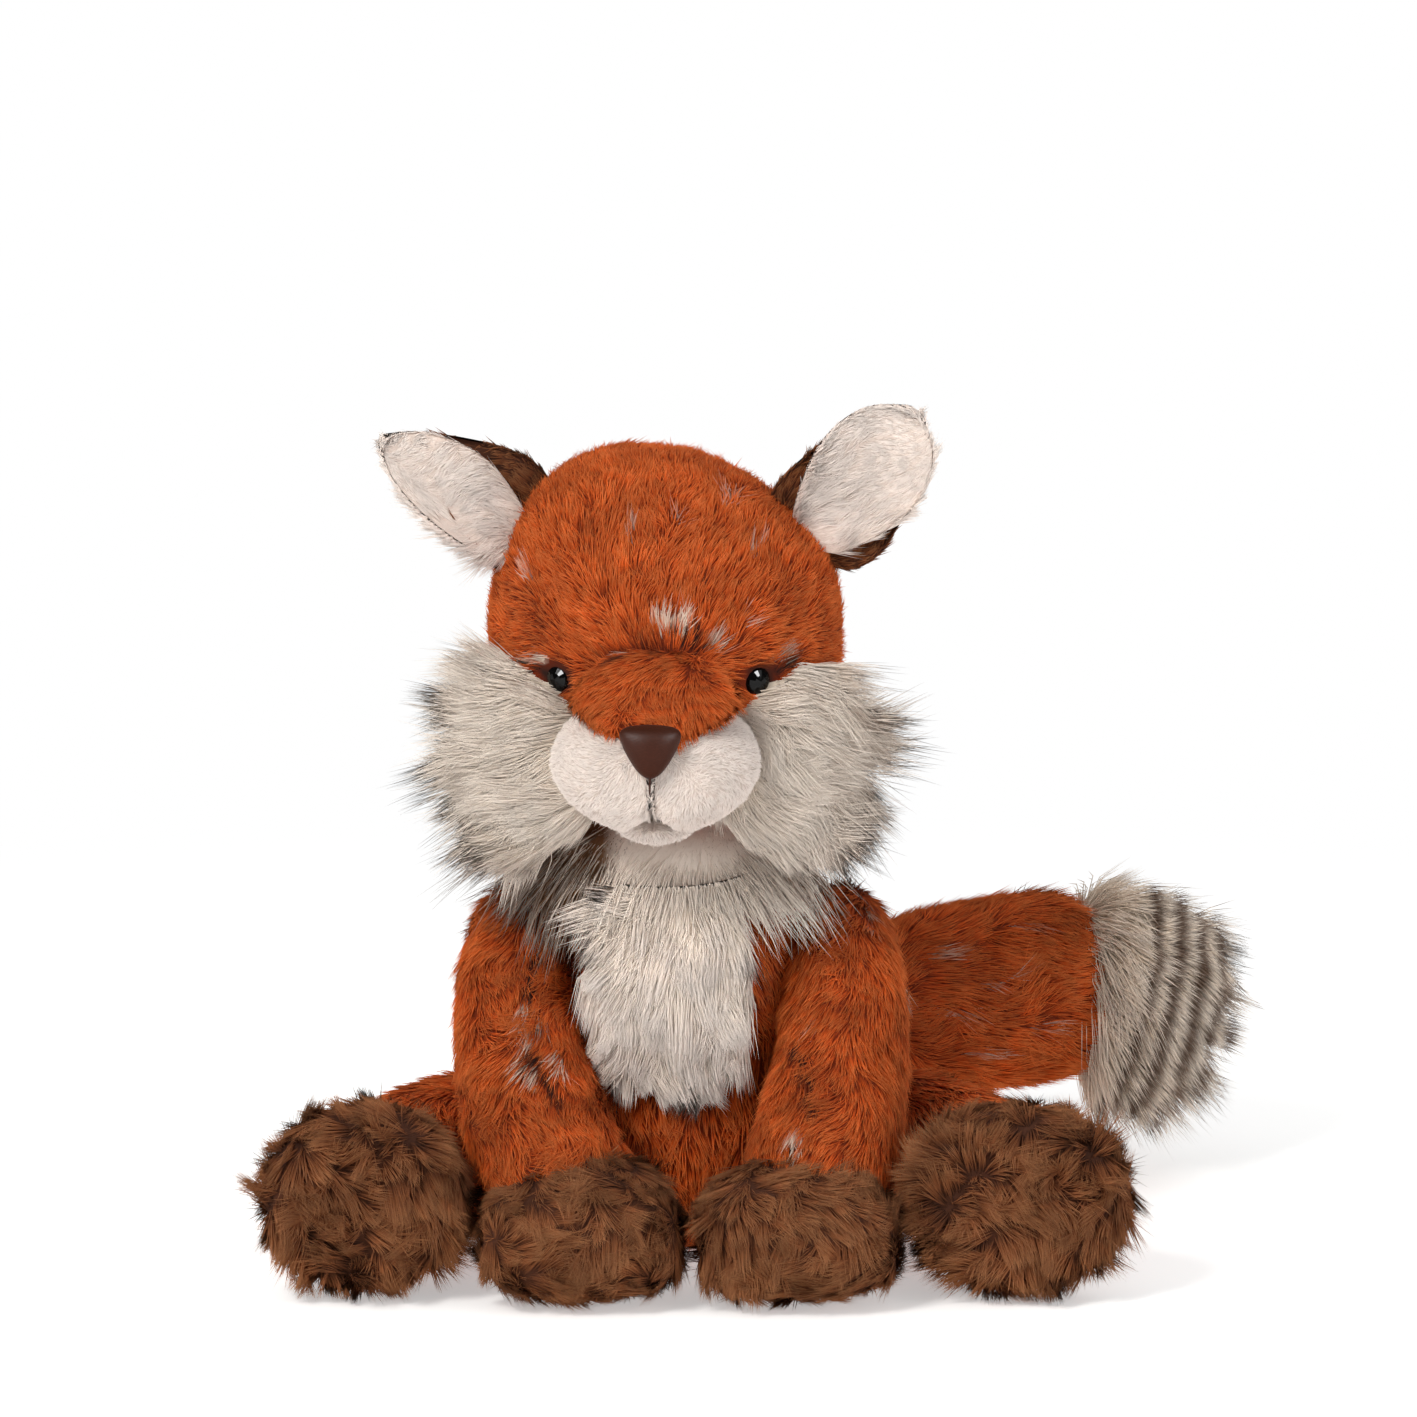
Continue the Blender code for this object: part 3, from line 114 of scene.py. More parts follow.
BODY = (
    (0, 0, 0, 0, 0), (0, 0, 0.3, 28, 29), (0, 0, 14.5, 45.5, 46.5), (-0.5, 0, 38, 48.5, 49.5),
    (-1.5, -3, 64.5, 45, 45), (-3, -6, 87.5, 38.5, 37.5), (-4.5, -9, 106, 31, 28),
    (-4.5, -9.5, 115.5, 19, 16.5), (-4.5, -9.5, 117, 0, 0),
)
BIB = (
    (-5, -40, 114, 0, 0), (-5, -41, 113, 12, 4), (-5, -46.5, 102, 21, 7), (-5, -50, 84, 24.5, 11),
    (-5, -49.5, 67, 22, 10), (-4.5, -48.5, 55, 16, 7), (-4.5, -48, 51, 0, 0),
)
HEAD = (
    (0, -19.5, 20, 0, 0), (0, -19.5, 22, 28, 26), (0, -14.5, 37.5, 43.5, 41.5), (0, -11, 61, 50, 49),
    (-0.5, -10, 82, 50.5, 49), (-2, -9, 101.5, 44, 42.5), (-1.5, -8, 116, 30, 29),
    (-0.5, -8, 123, 15, 14), (-0.5, -8, 124, 0, 0),
)
MUZZLE = (
    (0, -35.5, 43, 0, 0), (0, -38, 43, 23, 15), (0, -52.5, 43, 30, 19.5), (0, -66.5, 43, 29, 18.5),
    (0, -76.5, 41.5, 20.5, 14), (0, -80, 41.5, 9.5, 8), (0, -80.5, 41.5, 0, 0),
)
BRIDGE = (
    (0, -53, 75, 0, 0), (0, -54, 74.5, 16, 5), (0, -60.5, 69, 19.5, 8), (0, -68, 62.5, 27, 7.5),
    (0, -77.5, 56.5, 12, 5), (0, -81, 55, 0, 0),
)
CHIN = (
    (0, -36, 27, 0, 0), (0, -38.5, 27, 10.5, 5), (0, -52, 26.5, 13, 6), (0, -66, 27, 9, 5),
    (0, -70, 28, 0, 0),
)
NOSE = (
    (0, -81.5, 45, 0, 0), (0, -81.5, 46, 3, 3), (0, -81.5, 51.5, 6.5, 5), (0, -81.5, 57, 9, 5.5),
    (0, -81.5, 59.8, 8, 3.5), (0, -81.5, 60.2, 0, 0),
)
MOUTH_THREAD = ((0, -83.3, 46), (0, -83.5, 44), (0, -83.4, 42), (0, -83.0, 40))
CHEEK_RUFF = (
    (12, -44, 38, 0, 0), (13, -44, 38, 15, 8), (25, -43, 42, 26, 12), (37, -37, 44, 27, 9.5),
    (46, -31.5, 43, 21, 4.5), (51, -28.5, 43, 0, 0),
)
EAR_BACK = (
    (0, 0, -7, 0, 0, 0), (0, 0, -6, 14, 3, 0), (0, 0, 3, 18.5, 3.5, 5), (0, 0, 15, 18, 3.5, 8.5),
    (0, 0, 27, 14, 3, 5.5), (0, 0, 38, 8.5, 2.5, 3), (0, 0, 41, 0, 0, 1.5),
)
EAR_LINING = (
    (0, -4.5, -3, 0, 0, 0), (0, -4.5, -2, 8, 2.5, 2), (0, -4.5, 8, 12.5, 3, 4), (0, -4.5, 20, 16.5, 3, 7),
    (0, -4.5, 32, 16.5, 2.5, 5), (0, -4.5, 43, 11, 2, 2.5), (0, -4.5, 46.5, 0, 0, 1.5),
)
# How far an ear's stations lean towards the fold axis and how much they narrow, as shares of the way to
# the tip, and how far the lining stands to that side of the back.
EAR_LEAN = {"left": 0.0, "right": -0.07}
EAR_NARROWING = {"left": 0.0, "right": 0.40}
LINING_FACES_FRONT = 0.8
# The same for the bib and the ruff, in the world's directions.
CHEST_FACING = (0.0, -0.6, 0.1)
LINING_SHIFT = {"left": 0.0, "right": -6.5}
NECK_RUFF = (
    (0, -4, -3, 0, 0), (0, -4, -2, 24, 24), (0, -5, 6, 37, 37), (0, -7, 14, 41, 41), (0, -9, 20, 36, 36),
    (0, -10, 26, 22, 22), (0, -10, 28, 0, 0),
)
TAIL = (
    (0, 0, 0, 0, 0), (2.5, 1.5, 0.5, 15, 15), (21.5, 13, 5, 22, 22), (44.5, 24, 9, 26.5, 26.5),
    (68.5, 34, 11, 28, 28), (94, 42, 12, 27, 27), (100, 43.5, 12, 0, 0),
)
TAIL_TIP = (
    (86, 37.5, 12, 0, 0), (87, 38, 12, 24, 22), (97, 40, 11.5, 27, 23), (107, 42, 8.5, 24, 19),
    (114, 43.5, 5, 16, 11), (117, 44, 4, 0, 0),
)
FIRST_STRIPE = (105, 45, 11)
STRIPE_GAP = 8.0
STRIPE_WAVE = 2.6
# The foreleg's first two numbers are its share of the way from the shoulder's side place to the paw's, and
# how far it bows outwards.
FORELEG = (
    (0.0, 0.0, 13.5, 13, 0), (0.0, 0.0, 11, 10.5, 13), (0.1, 2.5, -7, -7, 19), (0.22, 4, -30, -29, 19.5),
    (0.5, 2.5, -50, -47, 22), (0.9, 0.0, -68, -63, 21), (1.0, 0.0, -70, -66, 0),
)
PAW_DROP = -67.5
PAW = (
    (0, -43, 2, 0, 0), (0, -44.5, 2, 21, 18), (0, -57, 3, 31, 25.5), (0, -74, 1.5, 34, 25.5),
    (0, -89, 0, 28, 20), (0, -95, 0, 15, 11), (0, -95.5, 0, 0, 0),
)
HIND_LEG = (
    (-21.5, 5, -1, 0, 0), (-17.5, 4, -1, 18, 18), (13, -9.5, -2, 24.5, 24.5), (35, -38.5, -4, 22, 22),
    (41, -74.5, -2, 19, 19), (43, -80, 0, 0, 0),
)
HIND_FOOT = (
    (41, -58, 1, 0, 0), (41, -59, 1, 22, 20), (41, -71, 1, 35, 30.5), (41, -87, 1, 37, 31),
    (41, -97.5, 1, 31, 26), (41, -100.5, 1, 18, 15.5), (41, -101, 1, 0, 0),
)
FOOT_SHIFT = {"left": 0.0, "right": -1.0}
FOOT_SHARE = {"left": 1.0, "right": 0.93}

# Flecks that the cloth's print shows from the front, together with some painted shade: across and up in the
# picture, length, width, the lean of the length from upright, all in millimetres and degrees, and how dark or
# pale it is.
FLECKS_AND_SHADE = (
    (-45, 183.5, 4, 2, 10, 0.0, 0.55), (-16.5, 194.5, 5, 1.6, 0, 0.0, 0.35),
    (10.5, 204, 4, 2.8, -10, 0.0, 0.55),
    (18.5, 190.5, 4, 2, -30, 0.45, 0.6), (16.5, 171.5, 4, 1.8, 0, 0.0, 0.5), (6, 163.8, 3, 2.8, 0, 0.6, 0.6),
    (-5.5, 169, 2.8, 5.6, 0, 0.0, 1.0), (-5, 165.5, 3.0, 1.0, 10, 1.0, 0.0),
    (-2, 165, 3.2, 1.0, 0, 1.0, 0.0),
    (1, 164.4, 3, 1.0, -10, 1.0, 0.0), (-41, 160.5, 2.6, 3.2, 20, 0.6, 0.6),
    (25, 161.5, 2.6, 3, -20, 0.6, 0.6),
    # Dark fur round each eye, widened as painted shade of the socket.
    (-36, 154.4, 5.6, 4.6, 0, 1.0, 0.0), (19.5, 154.4, 5.6, 4.6, 0, 1.0, 0.0),
    (-41.5, 157.5, 4.5, 1.2, 55, 1.0, 0.0), (25.5, 158, 4.5, 1.2, -55, 1.0, 0.0),
    # Painted shade: thin dark lines along the crease between the brow and the top of the bridge.
    (-20, 160.2, 7, 1.0, -72, 0.7, 0.0), (-7, 162.6, 7, 1.0, 90, 0.75, 0.0),
    (5, 160.6, 7, 1.0, 72, 0.7, 0.0),
    (-12, 185, 7, 2, 0, 0.35, 0.0), (3, 184, 6, 2, 0, 0.4, 0.0), (-25, 178, 6, 2, 0, 0.4, 0.0),
    (-4, 200, 5, 2, 0, 0.0, 0.3), (-30, 200, 6, 2, 10, 0.35, 0.0), (28, 180, 6, 2, -10, 0.4, 0.0),
    (-43.4, 74, 9, 1.8, -5, 1.0, 0.0), (-41, 61.5, 5, 2, 0, 0.7, 0.4),
    (-40, 47.5, 11, 1.7, 27, 1.0, 0.0), (-45.4, 64.2, 3, 1.5, 0, 0.0, 0.9),
    (-44.6, 57, 3.6, 1.5, 18, 0.0, 0.8),
    (-44.2, 48, 5, 1.3, 29, 0.0, 0.9), (-36, 49.5, 4, 1.1, 24, 0.0, 0.7), (-35.5, 70, 5, 1.2, 10, 0.5, 0.0),
    (28, 24, 5, 1.8, -20, 0.9, 0.0), (31.4, 49, 8, 1.7, 12, 1.0, 0.0), (34.5, 40, 5, 1.7, 12, 0.9, 0.0),
    (29.5, 29, 3, 2.4, 0, 0.0, 0.9), (35, 60, 3, 1.4, 0, 0.0, 0.5), (50, 88, 4, 1.6, 15, 0.0, 0.5),
    (67, 78, 2, 4.5, 0, 0.0, 0.5), (72, 62, 1.8, 6, 0, 0.0, 0.5), (84, 70, 1.6, 6, 10, 0.0, 0.45),
    (80, 50, 1.8, 5, 0, 0.0, 0.45), (93, 86, 1.6, 5, 0, 0.0, 0.4), (98, 58, 1.6, 5, 0, 0.0, 0.4),
    (-42, 170, 14, 13, 10, 0.4, 0.0), (20, 178, 9, 10, 0, 0.15, 0.0), (-9, 108, 12, 30, 0, 0.0, 1.0),
)
FLECK_SPACING = 0.030
FLECK_LENGTH = 0.007
FLECK_WIDTH = 0.0025
FLECK_STRENGTH = 0.8
DARK_FLECK_SHARE = 0.4
PICTURE_TILT = math.radians(12.0)
CATCH_LIGHTS = {"left": (1.8, -1.5, 1.2), "right": (-1.8, -1.5, 1.2)}


def linear(code):
    """An sRGB hex colour as linear red, green and blue."""
    shares = [int(code[start:start + 2], 16) / 255.0 for start in (1, 3, 5)]
    return tuple(v / 12.92 if v <= 0.04045 else ((v + 0.055) / 1.055) ** 2.4 for v in shares)


def unit(vectors):
    """Vectors of length one; a vector of no length stays as it is."""
    return vectors / np.maximum(np.linalg.norm(vectors, axis=-1, keepdims=True), 1e-12)


def flat_on(vectors, normals):
    """What is left of vectors once their part along the normals is taken away, at length one."""
    return unit(vectors - normals * np.sum(vectors * normals, axis=-1, keepdims=True))


def nearest(points, targets):
    """The index of the target nearest to each point, by the squared distance, a few thousand at a time."""
    squares = np.sum(targets ** 2, axis=1)
    found = [
        np.argmin(squares - 2.0 * points[start:start + CHUNK] @ targets.T, axis=1)
        for start in range(0, len(points), CHUNK)
    ]
    return np.concatenate(found)


def ripple(points, wavelength, rng):
    """Smooth noise with three parts a point: a sum of sine waves of random direction and phase."""
    waves = rng.normal(size=(3, WAVES)) * math.tau / wavelength / math.sqrt(3.0)
    phases = rng.random((WAVES, 3)) * math.tau
    return np.sin((points @ waves)[:, :, None] + phases).sum(axis=1) / math.sqrt(WAVES / 2.0)


def joint_place(name):
    """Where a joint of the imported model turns, as a point."""
    joint = next(j for j in frame["joints"] if j["name"] == name)
    return np.array(joint["pos_m"], float), np.array(joint["axis"], float)


def torso_place():
    """The torso's own frame: the floor's origin, unturned."""
    return np.zeros(3), np.eye(3)


def joint_frame(name):
    """An unturned frame at a joint of the torso: a shoulder, a hip or the tail's root."""
    return joint_place(name)[0], np.eye(3)


def head_place():
    """The head's frame: at the neck's joint, turned so that its side is the axis on which the head nods."""
    across = -joint_place("head_nod")[1]
    return joint_place("neck_turn")[0], np.array([across, np.cross(UP, across), UP])


def ear_place(side):
    """An ear's frame: at its fold, with its length towards the tip, the point farthest from the fold."""
    origin, across = joint_place(f"ear_{side}_fold")
    points = node_points(f"ear_back_{side}") - origin
    tip = points[np.argmax(np.linalg.norm(points, axis=1))]
    length = unit(tip - across * (tip @ across))
    return origin, np.array([across, np.cross(length, across), length])


def node_points(name):
    """The corners of a CAD node as an array."""
    mesh = frame["nodes"][name].data
    flat = np.empty(len(mesh.vertices) * 3)
    mesh.vertices.foreach_get("co", flat)
    return flat.reshape(-1, 3)


def mirrored(rows, side):
    """A form's stations for the fox's left as they are, and for its right with across turned over."""
    sign = 1 if side == "left" else -1
    return [(sign * row[0], *row[1:]) for row in rows]


def leaned(rows, side, shift=0.0):
    """An ear's stations, moved across by a shift and a share of their way up, and narrowed by another."""
    whole = rows[-1][2]
    return [(row[0] + shift + EAR_LEAN[side] * row[2], *row[1:3],
             row[3] * (1 - EAR_NARROWING[side] * max(row[2], 0) / whole), *row[4:]) for row in rows]


def half_of(sign):
    """Keeps one side of a form: what lies past the middle is laid on it, and the middle dips as a crease.

    The crease is a bell curve of the distance from the middle, taken off the ring's height, and deeper
    below, where the mouth is. The form is wider above its middle than below it by a share of the height
    there, and its upper corners are filled out."""
    def reshape(local):
        middle = local.mean(axis=1, keepdims=True)
        height = local[..., 2] - middle[..., 2]
        share = height / np.maximum(np.abs(height).max(axis=1, keepdims=True), MM)
        across = np.maximum(sign * local[..., 0] * (1 + MUZZLE_TAPER * share), 0.0002)
        out = across / across.max(axis=1, keepdims=True)
        across = across * (1 + MUZZLE_CORNER * np.clip(share, 0, 1) * (1 - out))
        depth = MUZZLE_CREASE + MOUTH_CREASE * np.clip(-share, 0, 1)
        crease = 1 - depth * np.exp(-(across / MUZZLE_CREASE_REACH) ** 2)
        return np.stack([sign * across, local[..., 1], middle[..., 2] + height * crease], axis=-1)
    return reshape


def boot(local):
    """Squares the rings of a paw and widens them downwards, so that it stands flat.

    A point's height becomes a power of its share of the ring's height, and its place across grows by a
    share of how far below the middle it lies."""
    offset = local - local.mean(axis=1, keepdims=True)
    reach = np.maximum(np.abs(offset[..., 2]).max(axis=1, keepdims=True), MM)
    share = offset[..., 2] / reach
    squared = np.sign(share) * np.abs(share) ** PAW_SQUARENESS
    change = np.stack([-PAW_TAPER * share * offset[..., 0], 0 * share, reach * (squared - share)], axis=-1)
    return local + change


class Skin:
    """A closed cloth surface, worked out on a grid of rings along a path and spokes round each ring.

    The stations are smoothed as a cubic B-spline, where each point is four neighbours weighed by the
    spline's basis. A ring's point is its centre, plus the side direction times the half width times the
    cosine of its turn, plus the depth direction times the half depth times the sine and the cup times the
    squared cosine. All of it is then drawn in along its normals by the depth of the pile, and farther where
    it has dents, each a flat bell of the distance from its middle. A thin leaf's normals can be turned
    towards its facing, so that its rim takes the light of its front.
    """

    def __init__(self, rows, place, side=ACROSS, inset=0.0, reshape=None, spokes=SPOKES, dents=(),
                 facing=(0.0, 0.0, 0.0)):
        rows = np.array(rows, float) * MM
        if rows.shape[1] == 5:
            rows = np.hstack([rows, np.zeros((len(rows), 1))])
        whole = np.vstack([2 * rows[0] - rows[1], rows, 2 * rows[-1] - rows[-2]])
        spot = np.linspace(0, len(rows) - 1, (len(rows) - 1) * RINGS_A_STATION + 1)
        first = np.minimum(spot.astype(int), len(rows) - 2)
        f = (spot - first)[:, None]
        basis = ((1 - f) ** 3, 3 * f ** 3 - 6 * f ** 2 + 4, -3 * f ** 3 + 3 * f ** 2 + 3 * f + 1, f ** 3)
        line = sum(weight / 6 * whole[first + k] for k, weight in enumerate(basis))
        turn = np.arange(spokes) * math.tau / spokes
        ahead = unit(np.gradient(line[:, :3], axis=0))
        deep = unit(np.cross(side, ahead))
        wide = np.cross(ahead, deep)
        out = line[:, 3:4] * np.cos(turn)
        forth = line[:, 4:5] * np.sin(turn) + line[:, 5:6] * np.cos(turn) ** 2
        local = line[:, None, :3] + wide[:, None] * out[..., None] + deep[:, None] * forth[..., None]
        if reshape is not None:
            local = reshape(local)
        origin, axes = place
        self.points = origin + local @ axes
        self.measure(ahead @ axes)
        depth = np.full(self.points.shape[:2], inset)
        for centre, sink, reach in dents:
            depth += sink * np.exp(-(np.linalg.norm(self.points - centre, axis=-1) / reach) ** 4)
        self.points -= self.normals * depth[..., None]
        self.points[..., 2] = np.maximum(self.points[..., 2], FLOOR_GAP)
        self.normals = unit(self.normals + facing)

    def measure(self, ahead):
        """Outward normals and lengthwise directions, from the differences between neighbouring points."""
        along = np.gradient(self.points, axis=0)
        around = np.roll(self.points, -1, axis=1) - np.roll(self.points, 1, axis=1)
        normals = unit(np.cross(around, along))
        outward = self.points - self.points.mean(axis=1, keepdims=True)
        self.inside_out = np.sum(normals * outward) < 0
        self.normals = -normals if self.inside_out else normals
        self.normals[0], self.normals[-1] = -ahead[0], ahead[-1]
        self.along = unit(along)
        self.along[0], self.along[-1] = self.along[1], self.along[-2]

    def quads(self):
        """Each cell's four corner points and its area, half the length of its diagonals' product."""
        after = np.roll(self.points, -1, axis=1)
        corners = (self.points[:-1], self.points[1:], after[1:], after[:-1])
        area = np.linalg.norm(np.cross(corners[2] - corners[0], corners[3] - corners[1]), axis=-1) / 2
        return corners, area

    def covers(self, points, limit):
        """True where a point lies deeper under this skin than the limit.

        The depth is taken against the normal at the nearest point, and has to be most of the distance."""
        grid, normals = self.points[::2, ::2].reshape(-1, 3), self.normals[::2, ::2].reshape(-1, 3)
        index = nearest(points, grid)
        way = grid[index] - points
        depth = np.sum(way * normals[index], axis=1)
        return (depth > limit) & (depth > DEPTH_SHARE * np.linalg.norm(way, axis=1))

    def sample(self, locks_per_cm2, rng):
        """Roots spread evenly over the area: places in the cells, drawn in turn by the cells' areas."""
        area = self.quads()[1]
        count = int(area.sum() / CM2 * locks_per_cm2)
        reach = np.cumsum(area.ravel()) / area.sum()
        cell = np.searchsorted(reach, (np.arange(count) + rng.random(count)) / count)
        spokes = self.points.shape[1]
        ring, spoke = np.divmod(np.minimum(cell, area.size - 1), spokes)
        down, over = rng.random((2, count, 1))
        after = (spoke + 1) % spokes
        mixed = []
        for values in (self.points, self.normals, self.along):
            near = values[ring, spoke] * (1 - down) + values[ring + 1, spoke] * down
            far = values[ring, after] * (1 - down) + values[ring + 1, after] * down
            mixed.append(near * (1 - over) + far * over)
        share = (ring + down[:, 0]) / (len(self.points) - 1)
        return Roots(mixed[0], unit(mixed[1]), unit(mixed[2]), share)


class Roots:
    """Where the locks of a coat grow: points, normals, lengthwise directions and shares of the length."""

    def __init__(self, points, normals, along, share):
        self.points, self.normals, self.along, self.share = points, normals, along, share

    def only(self, kept):
        """The roots for which kept is true."""
        return Roots(self.points[kept], self.normals[kept], self.along[kept], self.share[kept])


class Pile:
    """How a plush lies: lock length and width, locks a square centimetre, tuft width, how steeply it leaves
    the cloth, how far a tuft's tips close, how much it hangs, swirls and strays, the rings in a lock, and
    how far its shading follows the cloth's."""

    def __init__(self, length, per_cm2, width, tuft, rise, pinch=0.6, hang=0.0, swirl=0.3, stray=0.15,
                 rings=2, uneven=0.2, lies=0.6, swirl_span=0.02, softness=0.2):
        self.length, self.per_cm2, self.width, self.tuft = length, per_cm2, width, tuft
        self.rise, self.pinch, self.hang, self.swirl, self.stray = rise, pinch, hang, swirl, stray
        self.rings, self.uneven, self.lies, self.swirl_span = rings, uneven, lies, swirl_span
        self.softness = softness


class Lay:
    """Which way the pile is brushed: along the form, away from a point, and by a steady pull."""

    def __init__(self, along=0.0, centre=None, away=1.0, pull=(0.0, 0.0, 0.0), flat=1.0):
        self.along, self.centre, self.away, self.pull = along, centre, away, np.array(pull, float)
        self.flat = flat

    def direction(self, roots):
        """The sum of the three, less its part into the cloth and a share, flat, of its part out of it."""
        total = self.along * roots.along + self.pull
        if self.centre is not None:
            total = total + self.away * unit(roots.points - self.centre)
        out = np.sum(total * roots.normals, axis=1, keepdims=True)
        return unit(total - roots.normals * np.where(out < 0, out, self.flat * out))


def buried(points, covers):
    """True where a point lies deeper under one of the other skins than the depth given with it."""
    hidden = np.zeros(len(points), bool)
    for skin, depth in covers:
        hidden |= skin.covers(points, depth)
    return hidden


def in_the_way(lines, clear_of):
    """True for a lock that comes nearer to one of the lines than the clearing given with it."""
    found = np.zeros(len(lines), bool)
    for start, end, clearing in clear_of:
        way = end - start
        share = np.clip((lines - start) @ way / (way @ way), 0, 1)
        found |= np.any(np.linalg.norm(lines - start - share[..., None] * way, axis=-1) < clearing, axis=1)
    return found


def grow(roots, pile, lay, rng, lengths=None):
    """The middle lines of the locks, and a random share for each.

    A point of a line is the root, plus the length times the brushed direction, which takes over as the lock
    lies down, plus the normal times a parabola of the rise, less what it hangs. Lines near one tuft's middle
    line then close on it with the power of the way along them.
    """
    count = len(roots.points)
    tufts = max(1, int(count / pile.per_cm2 * CM2 / pile.tuft ** 2))
    middles = rng.choice(count, tufts, replace=False)
    tuft = nearest(roots.points, roots.points[middles])
    brushed = lay.direction(roots)
    loose = pile.swirl * ripple(roots.points, pile.swirl_span, rng)
    loose = loose + pile.stray * rng.normal(size=(count, 3))
    brushed = unit(brushed + flat_on(loose, roots.normals) * np.linalg.norm(loose, axis=1, keepdims=True))
    length = pile.length * (1 + pile.uneven * rng.uniform(-1, 1, count))
    length *= 1 + pile.uneven * rng.uniform(-1, 1, tufts)[tuft]
    if lengths is not None:
        length *= lengths
    t = np.linspace(0, 1, pile.rings + 1)[None, :, None]
    rise = pile.rise * (1 + RISE_VARIETY * rng.normal(size=(count, 1, 1)))
    forward = np.cos(rise) * t + (1 - np.cos(rise)) * t ** 2
    lift = np.sin(rise) * (t - pile.lies * t ** 2)
    step = brushed[:, None] * forward + roots.normals[:, None] * lift - UP * pile.hang * t ** 2
    step = step + TIP_WANDER * rng.normal(size=(count, 1, 3)) * t ** 2
    lines = roots.points[:, None] + step * length[:, None, None]
    goal = lines[middles][tuft]
    lines = lines + pile.pinch * t ** CLOSING_POWER * (goal - lines)
    lines[..., 2] = np.maximum(lines[..., 2], FLOOR_GAP + pile.width)
    chance = 0.5 * rng.random(count) + 0.5 * rng.random(tufts)[tuft]
    return lines, chance


def lock_faces(rings):
    """One lock's faces as corner numbers, and where each face's corners lie in the unit cell of its map."""
    faces, places = [(0, 1, 2)], [((0.1, 0.0), (0.5, 0.0), (0.3, 0.06))]
    tip = rings * LOCK_CORNERS
    for ring in range(rings):
        low, high = 0.1 + 0.9 * ring / rings, 0.1 + 0.9 * (ring + 1) / rings
        for corner in range(LOCK_CORNERS):
            after = (corner + 1) % LOCK_CORNERS
            left, right = corner / LOCK_CORNERS, (corner + 1) / LOCK_CORNERS
            here, there = ring * LOCK_CORNERS + corner, ring * LOCK_CORNERS + after
            if ring < rings - 1:
                faces.append((here, here + LOCK_CORNERS, there + LOCK_CORNERS, there))
                places.append(((left, low), (left, high), (right, high), (right, low)))
            else:
                faces.append((here, tip, there))
                places.append(((left, low), ((left + right) / 2, high), (right, low)))
    return faces, places


